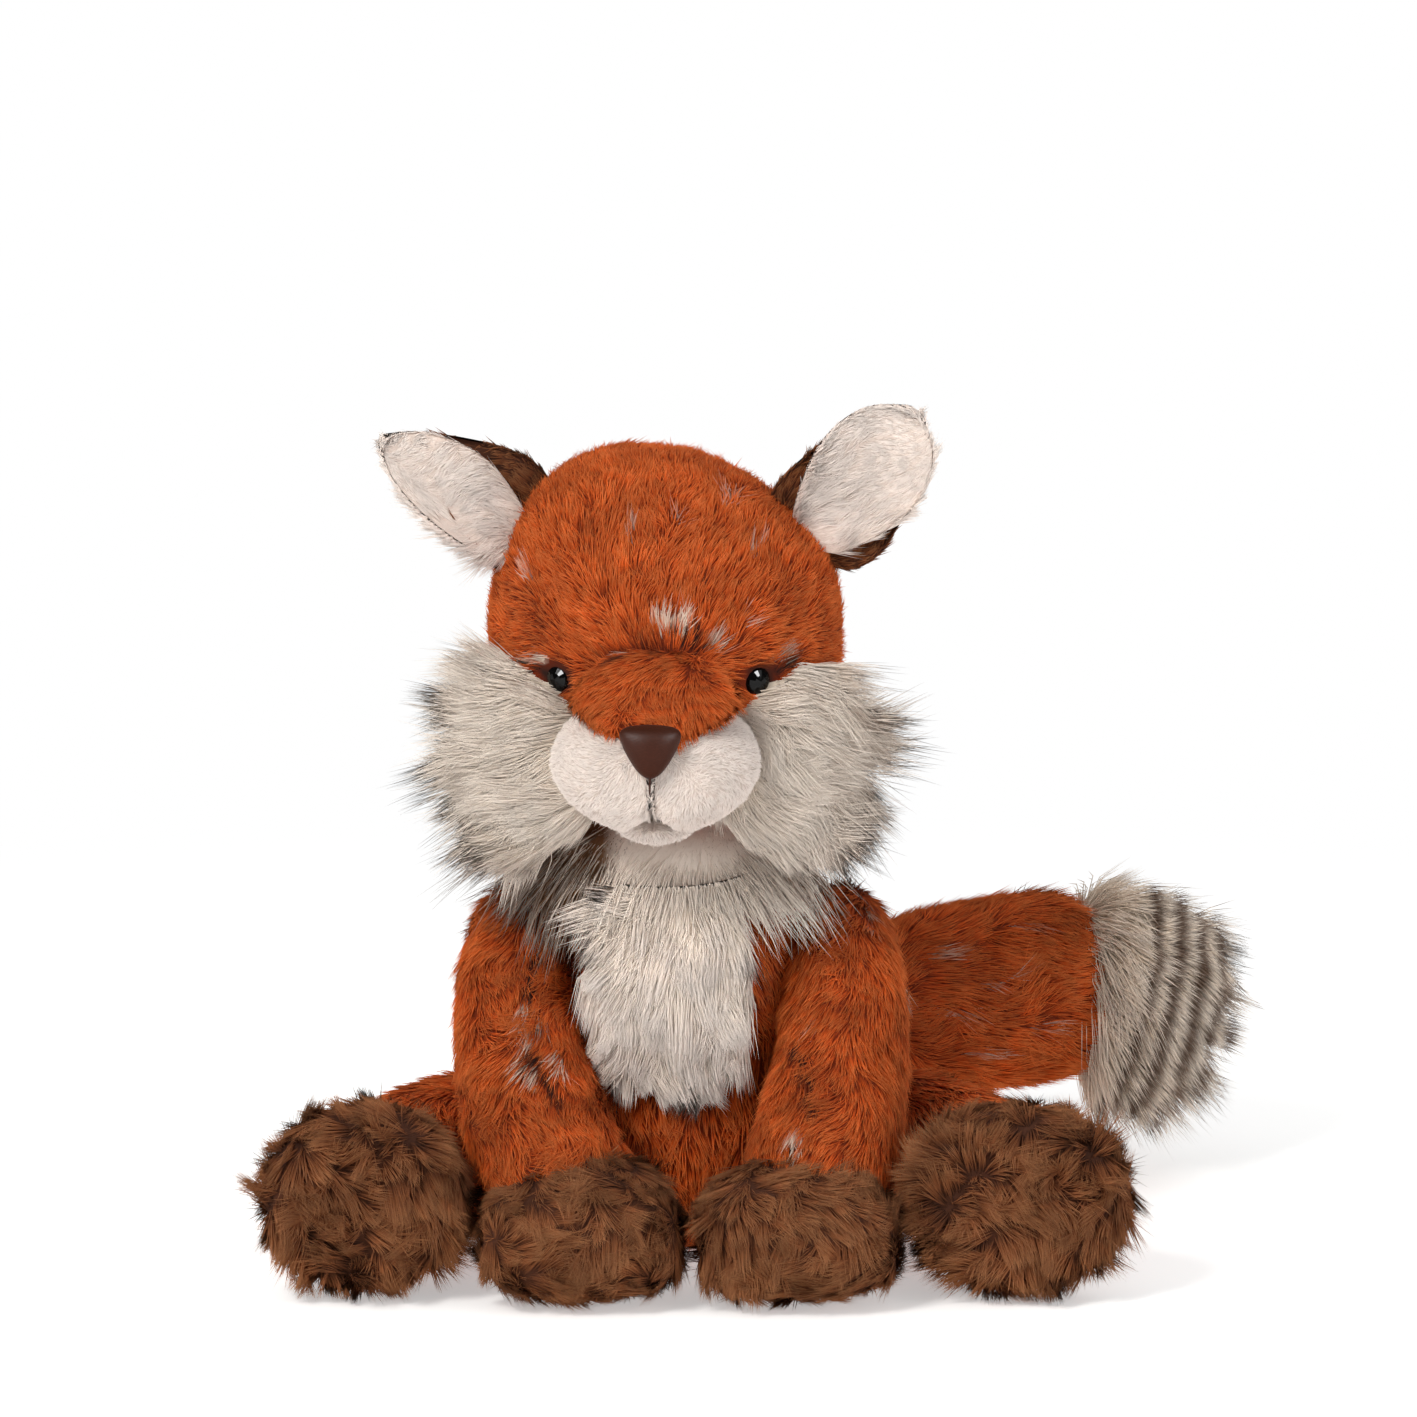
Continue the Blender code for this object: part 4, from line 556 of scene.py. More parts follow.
class Shell:
    """Gathers vertices, faces, map places and pile values, and makes one mesh of them."""

    def __init__(self):
        self.points, self.corners, self.sizes, self.places, self.values = [], [], [], [], []
        self.normals = []
        self.count = 0

    def add(self, points, normals, faces, places, values):
        """Adds points with their shading normals and values, and faces as rows of corner numbers, grouped
        by size, with a map place a corner."""
        self.points.append(points)
        self.normals.append(normals)
        self.values.append(values)
        for rows, spots in zip(faces, places):
            self.corners.append((rows + self.count).ravel())
            self.sizes.append(np.full(len(rows), rows.shape[1]))
            self.places.append(spots.reshape(-1, 2))
        self.count += len(points)

    def add_skin(self, skin, marks):
        """Adds a skin, its first and last ring closed to one point each, on the map's left strip."""
        rings, spokes = skin.points.shape[:2]
        inner = skin.points[1:-1].reshape(-1, 3)
        points = np.vstack([inner, skin.points[0].mean(axis=0), skin.points[-1].mean(axis=0)])
        ring, spoke = np.meshgrid(np.arange(rings - 3), np.arange(spokes), indexing="ij")
        ring, spoke = ring.ravel(), spoke.ravel()
        after = (spoke + 1) % spokes
        quads = np.stack([ring * spokes + spoke, (ring + 1) * spokes + spoke,
                          (ring + 1) * spokes + after, ring * spokes + after], axis=1)
        level = np.stack([ring, ring + 1, ring + 1, ring], axis=1) + 1
        turn = np.stack([spoke, spoke, spoke + 1, spoke + 1], axis=1)
        quad_map = np.stack([turn * SKIN_STRIP / spokes, level / (rings - 1)], axis=-1)
        s = np.arange(spokes)
        n, last = (s + 1) % spokes, (rings - 3) * spokes
        caps = np.vstack([np.stack([np.full(spokes, len(inner)), s, n], axis=1),
                          np.stack([np.full(spokes, len(inner) + 1), last + n, last + s], axis=1)])
        u = np.concatenate([np.stack([s + 0.5, s, s + 1], axis=1), np.stack([s + 0.5, s + 1, s], axis=1)])
        v = np.concatenate([np.tile([0, 1, 1], (spokes, 1)),
                            np.tile([rings - 1, rings - 2, rings - 2], (spokes, 1))])
        cap_map = np.stack([u * SKIN_STRIP / spokes, v / (rings - 1)], axis=-1)
        if not skin.inside_out:
            quads, quad_map = quads[:, ::-1], quad_map[:, ::-1]
            caps, cap_map = caps[:, ::-1], cap_map[:, ::-1]
        normals = np.vstack([skin.normals[1:-1].reshape(-1, 3), skin.normals[0, :1], skin.normals[-1, :1]])
        # Painted shade: the skin takes the pile's root colour, the shade deep in the pile, where it shows
        # between the locks.
        values = np.zeros((len(points), 4))
        values[:, 1] = 0.5
        values[:, 2:] = marks(points, normals)
        self.add(points, normals, (quads, caps), (quad_map, cap_map), values)

    def add_locks(self, lines, normals, width, chance, marks, softness=0.0):
        """Adds a closed three-sided tapering tube round each line, each in its own cell of the map."""
        count, rings = len(lines), lines.shape[1] - 1
        ahead = unit(np.gradient(lines, axis=1))
        side = unit(np.cross(ahead, normals[:, None]))
        rise = np.cross(side, ahead)
        turn = math.pi / 2 + np.arange(LOCK_CORNERS) * math.tau / LOCK_CORNERS
        taper = width * (1 - (np.arange(rings) / rings) ** 2 * LOCK_TAPER)[None, :, None, None]
        normals = normals[:, None] - ahead * np.sum(normals[:, None] * ahead, axis=-1, keepdims=True)
        low = np.repeat(normals[:, :rings], LOCK_CORNERS, axis=1)
        normals = np.concatenate([low, normals[:, -1:]], axis=1)
        wide = side[:, :rings, None] * np.cos(turn)[:, None]
        high = rise[:, :rings, None] * np.sin(turn)[:, None]
        tube = lines[:, :rings, None] + taper * (wide + high * LOCK_FLATNESS)
        points = np.concatenate([tube.reshape(count, -1, 3), lines[:, -1:]], axis=1)
        own = np.concatenate([unit(wide * LOCK_FLATNESS + high).reshape(count, -1, 3), rise[:, -1:]], axis=1)
        soft = np.append(np.tile(softness * (2 + np.sin(turn)) / 3, rings), softness)[:, None]
        shading = unit(own * (1 - soft) + normals * soft)
        size = points.shape[1]
        values = np.empty((count, size, 4))
        values[..., 0] = np.append(np.repeat(np.arange(rings) / rings, LOCK_CORNERS), 1.0)
        values[..., 1] = chance[:, None]
        values[..., 2:] = marks[:, None]
        columns = math.ceil(math.sqrt(count))
        cell = (1 - SKIN_STRIP) / columns, 1 / columns
        row, column = np.divmod(np.arange(count), columns)
        start = np.stack([SKIN_STRIP + column * cell[0], row * cell[1]], axis=1)
        faces, places = [], []
        pattern, spots = lock_faces(rings)
        for corners in sorted({len(face) for face in pattern}):
            rows = np.array([face for face in pattern if len(face) == corners])
            spot = np.array([place for face, place in zip(pattern, spots) if len(face) == corners])
            spot = CELL_MARGIN + (1 - 2 * CELL_MARGIN) * spot
            faces.append((np.arange(count)[:, None, None] * size + rows).reshape(-1, corners))
            places.append(start[:, None, None] + spot * cell)
        self.add(points.reshape(-1, 3), shading.reshape(-1, 3), faces, places, values.reshape(-1, 4))

    def mesh(self, name):
        """The mesh of all that was added, with its map and its values for the materials."""
        mesh = bpy.data.meshes.new(name)
        points, corners = np.concatenate(self.points), np.concatenate(self.corners)
        sizes = np.concatenate(self.sizes)
        mesh.vertices.add(len(points))
        mesh.vertices.foreach_set("co", points.astype(np.float32).ravel())
        mesh.loops.add(len(corners))
        mesh.loops.foreach_set("vertex_index", corners.astype(np.int32))
        mesh.polygons.add(len(sizes))
        mesh.polygons.foreach_set("loop_start", (np.cumsum(sizes) - sizes).astype(np.int32))
        mesh.update(calc_edges=True)
        layer = mesh.uv_layers.new(name="OFBake")
        layer.uv.foreach_set("vector", np.concatenate(self.places).astype(np.float32).ravel())
        pile = mesh.attributes.new("pile", "FLOAT_COLOR", "POINT")
        pile.data.foreach_set("color", np.concatenate(self.values).astype(np.float32).ravel())
        mesh.shade_smooth()
        mesh.normals_split_custom_set_from_vertices(np.concatenate(self.normals).tolist())
        return mesh


def no_marks(points, normals):
    """Plain cloth: neither dark nor pale."""
    return np.zeros((len(points), 2))


def print_and_shade_of(seed):
    """The flecks of the rust plush: those of the front, among them painted shade at the brow's crease and
    round the eyes, and others at random places on the rest.
    """
    def marks(points, normals):
        """Each fleck is a bell curve of the place along and across it; the strongest counts."""
        toward_camera = -BACK * math.cos(PICTURE_TILT) + UP * math.sin(PICTURE_TILT)
        facing = np.clip(normals @ toward_camera * 3, 0, 1)
        across = points[:, 0] / MM
        up = (points[:, 2] * math.cos(PICTURE_TILT) + points[:, 1] * math.sin(PICTURE_TILT)) / MM
        found = np.zeros((len(points), 2))
        for x, y, length, width, lean, dark, pale in FLECKS_AND_SHADE:
            cosine, sine = math.cos(math.radians(lean)), math.sin(math.radians(lean))
            forth = ((up - y) * cosine - (across - x) * sine) / length
            over = ((across - x) * cosine + (up - y) * sine) / width
            bell = np.exp(-(forth ** 4) - over ** 4) * facing
            found = np.maximum(found, bell[:, None] * (dark, pale))
        rng = np.random.default_rng(seed)
        low, high = points.min(axis=0), points.max(axis=0)
        for _ in range(int(np.prod((high - low) / FLECK_SPACING + 1))):
            centre = low + rng.random(3) * (high - low)
            lean = unit(rng.normal(size=3) * (0.4, 0.4, 1.0))
            offset = points - centre
            forth = offset @ lean
            over = np.linalg.norm(offset - forth[:, None] * lean, axis=1)
            bell = np.exp(-((forth / FLECK_LENGTH) ** 2) - (over / FLECK_WIDTH) ** 4) * (1 - facing)
            dark = FLECK_STRENGTH if rng.random() < DARK_FLECK_SHARE else 0.0
            found = np.maximum(found, bell[:, None] * (dark, FLECK_STRENGTH - dark))
        return found
    return marks


def stand_for(obj, body, nodes):
    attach(obj, body)
    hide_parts(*nodes)


def plush(name, body, nodes, skin, pile, lay, material, seed, covers=(), marks=no_marks,
          lengths=None, clear_of=(), grown=lambda roots: slice(None)):
    """Makes one furred piece: its skin, and the locks on all of it that no other skin covers."""
    rng = np.random.default_rng(seed)
    roots = skin.sample(pile.per_cm2, rng)
    roots = roots.only(~buried(roots.points, covers))
    roots = roots.only(grown(roots))
    longer = None if lengths is None else lengths(roots)
    lines, chance = grow(roots, pile, lay, rng, longer)
    kept = ~in_the_way(lines, clear_of)
    roots, lines, chance = roots.only(kept), lines[kept], chance[kept]
    shell = Shell()
    shell.add_skin(skin, marks)
    shell.add_locks(lines, roots.normals, pile.width / 2, chance, marks(roots.points, roots.normals),
                    pile.softness)
    obj = bpy.data.objects.new(f"{name}_coat", shell.mesh(f"{name}_coat"))
    bpy.context.scene.collection.objects.link(obj)
    obj.data.materials.append(material)
    stand_for(obj, body, nodes)
    return obj


def add_node(tree, kind, inputs=None, **settings):
    """Adds one node with its settings; inputs give each socket a value or the socket that feeds it."""
    made = tree.nodes.new(kind)
    for key, value in settings.items():
        setattr(made, key, value)
    for socket, value in (inputs or {}).items():
        if isinstance(value, bpy.types.NodeSocket):
            tree.links.new(value, made.inputs[socket])
        else:
            made.inputs[socket].default_value = value
    return made


def new_material(name):
    """An empty node material and its tree."""
    material = bpy.data.materials.new(name)
    material.use_nodes = True
    material.node_tree.nodes.clear()
    return material, material.node_tree


def finish_material(tree, shader):
    """Joins a shader to the material's output."""
    add_node(tree, "ShaderNodeOutputMaterial", {"Surface": shader.outputs[0]})


def rgba(colour):
    """A colour with a full fourth part, as colour sockets take it."""
    return (*colour, 1.0)


def pile_material(name, root_shade, middle, tip, dark, pale, patch_mm=14.0, dark_tips=0.0, spread=0.25,
                  stripes=None):
    """Pile colour from root to tip, varied a lock at a time and in soft patches, with dark and pale marks.

    Where a mark is weak, only some of the locks take it, and on a plain pile they take it fainter. Where
    dark_tips is above 0, the dark value darkens only the outer part of a lock, as on tipped fur. Stripes are
    given as a direction, the place of the first along it and the gap between two. The darker root colour is
    painted shade deep in the pile, and a lighter tip colour is partly painted light on the tips.
    """
    material, tree = new_material(name)
    value = add_node(tree, "ShaderNodeAttribute", attribute_name="pile")
    parts = add_node(tree, "ShaderNodeSeparateColor", {"Color": value.outputs["Color"]})
    # Painted shade: the ramp starts from the darker root colour, for the shade deep in the pile.
    ramp = add_node(tree, "ShaderNodeValToRGB", {"Fac": parts.outputs["Red"]})
    ramp.color_ramp.elements[0].color = rgba(root_shade)
    ramp.color_ramp.elements[1].color = rgba(tip)
    ramp.color_ramp.elements.new(0.45).color = rgba(middle)
    place = add_node(tree, "ShaderNodeTexCoord")
    patch = add_node(tree, "ShaderNodeTexNoise", {"Vector": place.outputs["Object"], "Scale": 1000 / patch_mm,
                                                  "Detail": 2.0, "Roughness": 0.55})
    bright = add_node(tree, "ShaderNodeMapRange", {"Value": parts.outputs["Green"], "To Min": 1 - spread,
                                                   "To Max": 1 + spread})
    soft = add_node(tree, "ShaderNodeMapRange", {"Value": patch.outputs["Fac"], "From Min": 0.3,
                                                 "From Max": 0.7, "To Min": 1 - spread,
                                                 "To Max": 1 + spread})
    both = add_node(tree, "ShaderNodeMath", {0: bright.outputs[0], 1: soft.outputs[0]}, operation="MULTIPLY")
    varied = add_node(tree, "ShaderNodeHueSaturation", {"Color": ramp.outputs["Color"],
                                                        "Value": both.outputs[0]})
    darkness, paleness = (some_locks(tree, mark, parts.outputs["Green"], 0.25 if dark_tips else 0.6)
                          for mark in (parts.outputs["Blue"], value.outputs["Alpha"]))
    if dark_tips:
        reach = add_node(tree, "ShaderNodeMapRange", {"Value": parts.outputs["Red"],
                                                      "From Min": 1 - dark_tips, "From Max": 1.0},
                         interpolation_type="SMOOTHSTEP")
        darkness = add_node(tree, "ShaderNodeMath", {0: darkness, 1: reach.outputs[0]},
                            operation="MULTIPLY").outputs[0]
    if stripes:
        shift = add_node(tree, "ShaderNodeMath", {0: patch.outputs["Fac"], 1: STRIPE_WAVE,
                                                  2: parts.outputs["Green"]}, operation="MULTIPLY_ADD")
        darkness = stripe_nodes(tree, place.outputs["Object"], shift.outputs[0], *stripes)
    darker = add_node(tree, "ShaderNodeMix", data_type="RGBA")
    tree.links.new(darkness, darker.inputs["Factor"])
    tree.links.new(varied.outputs[0], darker.inputs[6])
    darker.inputs[7].default_value = rgba(dark)
    paler = add_node(tree, "ShaderNodeMix", data_type="RGBA")
    tree.links.new(paleness, paler.inputs["Factor"])
    tree.links.new(darker.outputs[2], paler.inputs[6])
    paler.inputs[7].default_value = rgba(pale)
    shader = add_node(tree, "ShaderNodeBsdfPrincipled", {
        "Base Color": paler.outputs[2], "Roughness": 0.85, "Specular IOR Level": 0.06})
    finish_material(tree, shader)
    return material


def some_locks(tree, mark, chance, softness):
    """A mark's strength on a lock: full where strong, on a share of the locks and fainter where weak."""
    left = add_node(tree, "ShaderNodeMath", {0: chance, 1: -MARK_CHANCE, 2: mark}, operation="MULTIPLY_ADD")
    return add_node(tree, "ShaderNodeMapRange", {"Value": left.outputs[0], "From Max": softness}).outputs[0]


def stripe_nodes(tree, place, shift, direction, first, gap):
    """How dark printed stripes are at a place: a shifted sine along a direction, from the first on."""
    along = add_node(tree, "ShaderNodeVectorMath", {0: place, 1: direction}, operation="DOT_PRODUCT")
    turns = add_node(tree, "ShaderNodeMath", {0: along.outputs["Value"], 1: math.tau / gap,
                                              2: math.pi / 2 - math.tau * first / gap},
                     operation="MULTIPLY_ADD")
    wavy = add_node(tree, "ShaderNodeMath", {0: shift, 1: turns.outputs[0]})
    wave = add_node(tree, "ShaderNodeMath", {0: wavy.outputs[0]}, operation="SINE")
    band = add_node(tree, "ShaderNodeMapRange", {"Value": wave.outputs[0], "From Min": -1.0, "From Max": 0.9,
                                                 "To Max": 0.85})
    begun = add_node(tree, "ShaderNodeMapRange", {
        "Value": along.outputs["Value"], "From Min": first - 0.6 * gap, "From Max": first - 0.3 * gap})
    return add_node(tree, "ShaderNodeMath", {0: band.outputs[0], 1: begun.outputs[0]},
                    operation="MULTIPLY").outputs[0]


def satin_material(name, colour, thread_mm):
    """Woven satin: long floats of thread that catch the light in one direction, painted as lighter and darker
    streaks in its colour, over a fine thread bump.
    """
    material, tree = new_material(name)
    place = add_node(tree, "ShaderNodeTexCoord")
    stretch = add_node(tree, "ShaderNodeMapping", {"Vector": place.outputs["Object"], "Scale": (0.2, 1, 1)})
    weave = add_node(tree, "ShaderNodeTexNoise", {"Vector": stretch.outputs[0], "Scale": 1000 / thread_mm,
                                                  "Detail": 2.0})
    # Painted sheen: the colour brightens and darkens in streaks along the floats.
    shade = add_node(tree, "ShaderNodeMapRange", {"Value": weave.outputs["Fac"], "To Min": 0.7,
                                                  "To Max": 1.35})
    varied = add_node(tree, "ShaderNodeHueSaturation", {"Color": rgba(colour), "Value": shade.outputs[0]})
    rough = add_node(tree, "ShaderNodeMapRange", {"Value": weave.outputs["Fac"], "To Min": 0.35,
                                                  "To Max": 0.6})
    bump = add_node(tree, "ShaderNodeBump", {"Height": weave.outputs["Fac"], "Strength": 0.35,
                                             "Distance": thread_mm * MM})
    shader = add_node(tree, "ShaderNodeBsdfPrincipled", {
        "Base Color": varied.outputs[0], "Roughness": rough.outputs[0], "Normal": bump.outputs[0],
        "Specular IOR Level": 0.12, "Sheen Weight": 0.04, "Sheen Roughness": 0.3})
    finish_material(tree, shader)
    return material


def moulded_material(name, colour, roughness, shine, scuff_mm=2.0):
    """Moulded plastic: an even colour that varies a little, with faint scuffs in its gloss."""
    material, tree = new_material(name)
    place = add_node(tree, "ShaderNodeTexCoord")
    scuff = add_node(tree, "ShaderNodeTexNoise", {"Vector": place.outputs["Object"],
                                                  "Scale": 1000 / scuff_mm, "Detail": 3.0})
    rough = add_node(tree, "ShaderNodeMapRange", {"Value": scuff.outputs["Fac"], "To Min": roughness,
                                                  "To Max": roughness + 0.08})
    shade = add_node(tree, "ShaderNodeMapRange", {"Value": scuff.outputs["Fac"], "To Min": 0.9,
                                                  "To Max": 1.1})
    varied = add_node(tree, "ShaderNodeHueSaturation", {"Color": rgba(colour), "Value": shade.outputs[0]})
    shader = add_node(tree, "ShaderNodeBsdfPrincipled", {
        "Base Color": varied.outputs[0], "Roughness": rough.outputs[0], "IOR": 1.49,
        "Specular IOR Level": shine})
    finish_material(tree, shader)
    return material


def cloth_material(name, colour, thread_mm):
    """Plain-woven cloth or matted fibre: crossed waves of thread in its colour and its bump."""
    material, tree = new_material(name)
    place = add_node(tree, "ShaderNodeTexCoord")
    threads = add_node(tree, "ShaderNodeTexNoise", {"Vector": place.outputs["Object"],
                                                    "Scale": 1000 / thread_mm, "Detail": 4.0})
    shade = add_node(tree, "ShaderNodeMapRange", {"Value": threads.outputs["Fac"], "To Min": 0.75,
                                                  "To Max": 1.2})
    varied = add_node(tree, "ShaderNodeHueSaturation", {"Color": rgba(colour), "Value": shade.outputs[0]})
    bump = add_node(tree, "ShaderNodeBump", {"Height": threads.outputs["Fac"], "Strength": 0.5,
                                             "Distance": thread_mm * MM})
    shader = add_node(tree, "ShaderNodeBsdfPrincipled", {
        "Base Color": varied.outputs[0], "Roughness": 0.9, "Normal": bump.outputs[0]})
    finish_material(tree, shader)
    return material


def length_setting(name, description, default):
    """A length in metres that shows in the sidebar."""
    return FloatProperty(name=name, description=description, default=default, min=0.0001, unit="LENGTH",
                         precision=4)


def colour_setting(name, description, code):
    """A colour that shows in the sidebar; its default is an sRGB hex value."""
    return FloatVectorProperty(name=name, description=description, subtype="COLOR", size=3, min=0.0,
                               max=1.0, default=linear(code))


class PlushFoxSizes(PropertyGroup):
    """Lengths of the piles and how full they are."""

    rust_pile: length_setting("Rust pile", "Length of the rust plush's locks", 0.0075)
    brown_pile: length_setting("Brown pile", "Length of the paws' and feet's locks", 0.0085)
    white_pile: length_setting("White pile", "Length of the muzzle's short pile", 0.0026)
    ear_pile: length_setting("Ear pile", "Length of the ears' pile", 0.0042)
    bib_pile: length_setting("Bib pile", "Length of the bib's locks", 0.019)
    cheek_pile: length_setting("Cheek pile", "Length of the cheek ruffs' locks", 0.021)
    collar_pile: length_setting("Collar pile", "Length of the neck ruff's locks", 0.024)
    tip_pile: length_setting("Tail tip pile", "Length of the tail tip's locks", 0.022)
    fullness: FloatProperty(name="Fullness", description="Share of the locks that grow", default=1.0,
                            min=0.05, max=2.0, subtype="FACTOR")


class PlushFoxColours(PropertyGroup):
    """Colours of the cloths and of the face."""

    # Painted shade: each root colour is darker than its pile, for the shade deep in the pile, and the skin
    # under the locks takes it too. The rust and brown tips are lighter: partly the plush's own colour, partly
    # painted light on the tips.
    rust_shaded_root: colour_setting("Rust root", "Rust plush deep in the pile", "#6B2408")
    rust: colour_setting("Rust", "Rust plush along its locks", "#BE4E1A")
    rust_lit_tip: colour_setting("Rust tip", "Rust plush at its tips", "#D6733A")
    brown_shaded_root: colour_setting("Brown root", "Brown plush deep in the pile", "#46281A")
    brown: colour_setting("Brown", "Brown plush along its locks", "#824D2E")
    brown_lit_tip: colour_setting("Brown tip", "Brown plush at its tips", "#9E6B47")
    white: colour_setting("White", "Short white pile", "#F3E6DD")
    # Painted shade: a darker root colour for the shade deep in the pile.
    white_shaded_root: colour_setting("White root", "White pile deep down", "#DCCBC0")
    cream: colour_setting("Cream", "Long cream pile", "#F0E3D6")
    # Painted shade: a darker root colour for the shade deep in the pile.
    cream_shaded_root: colour_setting("Cream root", "Long cream pile deep down", "#D6C6B4")
    frost_dark: colour_setting("Frost dark", "Dark tips of the frosted pile", "#4A3021")
    cheek_tip: colour_setting("Cheek tip", "Dark tips of the cheek ruffs", "#7C5B42")
    tail_cream: colour_setting("Tail cream", "Light pile of the tail's tip", "#E8D6C2")
    stripe: colour_setting("Stripe", "Dark stripes of the tail's tip", "#50301A")
    frost_mid: colour_setting("Frost middle", "Grey-brown of the neck's frosted pile", "#73543C")
    dark_fleck: colour_setting("Dark fleck", "Dark flecks of the print", "#2A1812")
    pale_fleck: colour_setting("Pale fleck", "Pale flecks of the print", "#DCC8B6")
    nose: colour_setting("Nose", "Satin of the nose", "#3C1A0C")
    eye: colour_setting("Eye", "Moulded eye", "#060505")


class PlushFoxStudio(PropertyGroup):
    """The camera's place and the light."""

    elevation: FloatProperty(name="Elevation", description="How far the camera looks down",
                             default=PICTURE_TILT, subtype="ANGLE")
    distance: length_setting("Distance", "From the camera to the fox", 9.0)
    aim_across: FloatProperty(name="Aim across", description="Place of the picture's middle, across",
                              default=0.00514, unit="LENGTH")
    aim_up: length_setting("Aim up", "Place of the picture's middle, up", 0.1466)
    width: length_setting("Picture width", "What the picture spans at the fox", 0.394)
    fill: FloatProperty(name="Fill light", description="Strength of the light from all round", default=0.46,
                        min=0.0)
    key_power: FloatProperty(name="Key light", description="Power of the big light", default=30.0,
                             unit="POWER")


SKINS = {}


def skin_of(name):
    """One of the fox's skins, worked out once."""
    if name not in SKINS:
        SKINS[name] = skin_makers()[name]()
    return SKINS[name]


def foreleg_rows(side):
    """A foreleg's stations: from the shoulder to the wrist, bowed outwards on the way to its paw."""
    sign = 1 if side == "left" else -1
    offset = paw_offset(side)
    return [(share * offset + sign * bow, y, z, radius, radius) for share, bow, y, z, radius in FORELEG]


def paw_offset(side):
    """How far the paw stands to the side of its shoulder, in millimetres."""
    low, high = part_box(f"front_paw_{side}")
    return ((low.x + high.x) / 2 - joint_place(f"foreleg_{side}_lift")[0][0]) / MM


def skin_makers():
    """How each skin is made: its stations, its frame, the direction of its sides and the pile's depth."""
    sizes = bpy.context.scene.plush_fox_sizes
    head = head_place()
    rust, brown = 0.25 * sizes.rust_pile, 0.7 * sizes.brown_pile
    makers = {
        "body": lambda: Skin(BODY, torso_place(), inset=rust),
        "bib": lambda: Skin(BIB, torso_place(), inset=0.0035, facing=CHEST_FACING),
        "head": lambda: Skin(HEAD, head, inset=rust, spokes=HEAD_SPOKES, dents=[
            (eye, SOCKET_DEPTH, SOCKET_REACH) for eye, _, _ in eye_lines()[::2]]),
        "bridge": lambda: Skin(BRIDGE, head, inset=0.0015),
        "chin": lambda: Skin(CHIN, head, inset=0.001),
        "neck_ruff": lambda: Skin(NECK_RUFF, head, inset=0.006, facing=CHEST_FACING),
        "tail": lambda: Skin(TAIL, joint_frame("tail_swing"), UP, rust),
        "tail_tip": lambda: Skin(TAIL_TIP, joint_frame("tail_swing"), UP, 0.0015),
    }
    for side in SIDES:
        sign = 1 if side == "left" else -1
        shoulder = joint_frame(f"foreleg_{side}_lift")
        hip = joint_frame(f"hind_leg_{side}_lift")
        paw = [(paw_offset(side), y, PAW_DROP + z, wide, deep) for _, y, z, wide, deep in PAW]
        ear = ear_place(side)
        foot = [(x + FOOT_SHIFT[side], y, z, FOOT_SHARE[side] * wide, deep)
                for x, y, z, wide, deep in HIND_FOOT]
        makers |= {
            f"muzzle_{side}": lambda sign=sign: Skin(MUZZLE, head, inset=0.001, reshape=half_of(sign)),
            f"cheek_{side}": lambda side=side: Skin(mirrored(CHEEK_RUFF, side), head, UP, 0.001),
            f"ear_back_{side}": lambda side=side, ear=ear: Skin(leaned(EAR_BACK, side), ear, inset=0.0012),
            f"ear_lining_{side}": lambda side=side, ear=ear: Skin(
                leaned(EAR_LINING, side, LINING_SHIFT[side]), ear, inset=0.0008,
                facing=-LINING_FACES_FRONT * ear[1][1]),
            f"foreleg_{side}": lambda side=side, s=shoulder: Skin(foreleg_rows(side), s, inset=rust),
            f"paw_{side}": lambda paw=paw, s=shoulder: Skin(paw, s, inset=brown, reshape=boot),
            f"hind_leg_{side}": lambda side=side, h=hip: Skin(mirrored(HIND_LEG, side), h, UP, rust),
            f"foot_{side}": lambda side=side, foot=foot, h=hip: Skin(mirrored(foot, side), h, inset=brown),
        }
    return makers


def under(*pairs):
    """Skins by name with the depth under each at which nothing grows, from millimetres."""
    return [(skin_of(name), depth * MM) for name, depth in pairs]


def head_point(x, y, z):
    """A point of the head's frame, from millimetres."""
    origin, axes = head_place()
    return origin + np.array([x, y, z], float) * MM @ axes


def eye_lines():
    """From each eye's middle straight out of the head and to the catch light, with the clearing round it."""
    middle = head_point(0, -11, 62)
    lines = []
    for side in SIDES:
        centre = np.mean([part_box(f"eye_{side}")[0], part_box(f"eye_{side}")[1]], axis=0)
        outward = unit(centre - middle)
        front = centre + EYE_FRONT * outward
        lines.append((centre, centre + 0.014 * outward, EYE_CLEARING))
        lines.append((front, front + 0.018 * unit(np.array(CATCH_LIGHTS[side]) - front), GLINT_CLEARING))
    return lines


def rust_pile(sizes, **changes):
    """The rust plush's pile."""
    settings = dict(length=sizes.rust_pile, per_cm2=240 * sizes.fullness, width=0.0006, tuft=0.003,
                    rise=math.radians(17), pinch=0.35, swirl=0.35, rings=1, softness=0.5)
    return Pile(**(settings | changes))


def brown_pile(sizes, **changes):
    """The brown plush's pile: tousled, in broad tufts."""
    settings = dict(length=sizes.brown_pile, per_cm2=255 * sizes.fullness, width=0.00051, tuft=0.004,
                    rise=math.radians(29), pinch=0.5, swirl=0.95, stray=0.2, uneven=0.3, swirl_span=0.013,
                    rings=1, softness=0.35)
    return Pile(**(settings | changes))


def rust_material(colours):
    """Knitted polyester plush, printed and sheared: matte, with painted shade at the roots and lighter tips
    that are partly painted light.
    """
    return bpy.data.materials.get("rust_polyester_plush") or pile_material(
        "rust_polyester_plush", colours.rust_shaded_root, colours.rust, colours.rust_lit_tip, colours.dark_fleck,
        colours.pale_fleck)


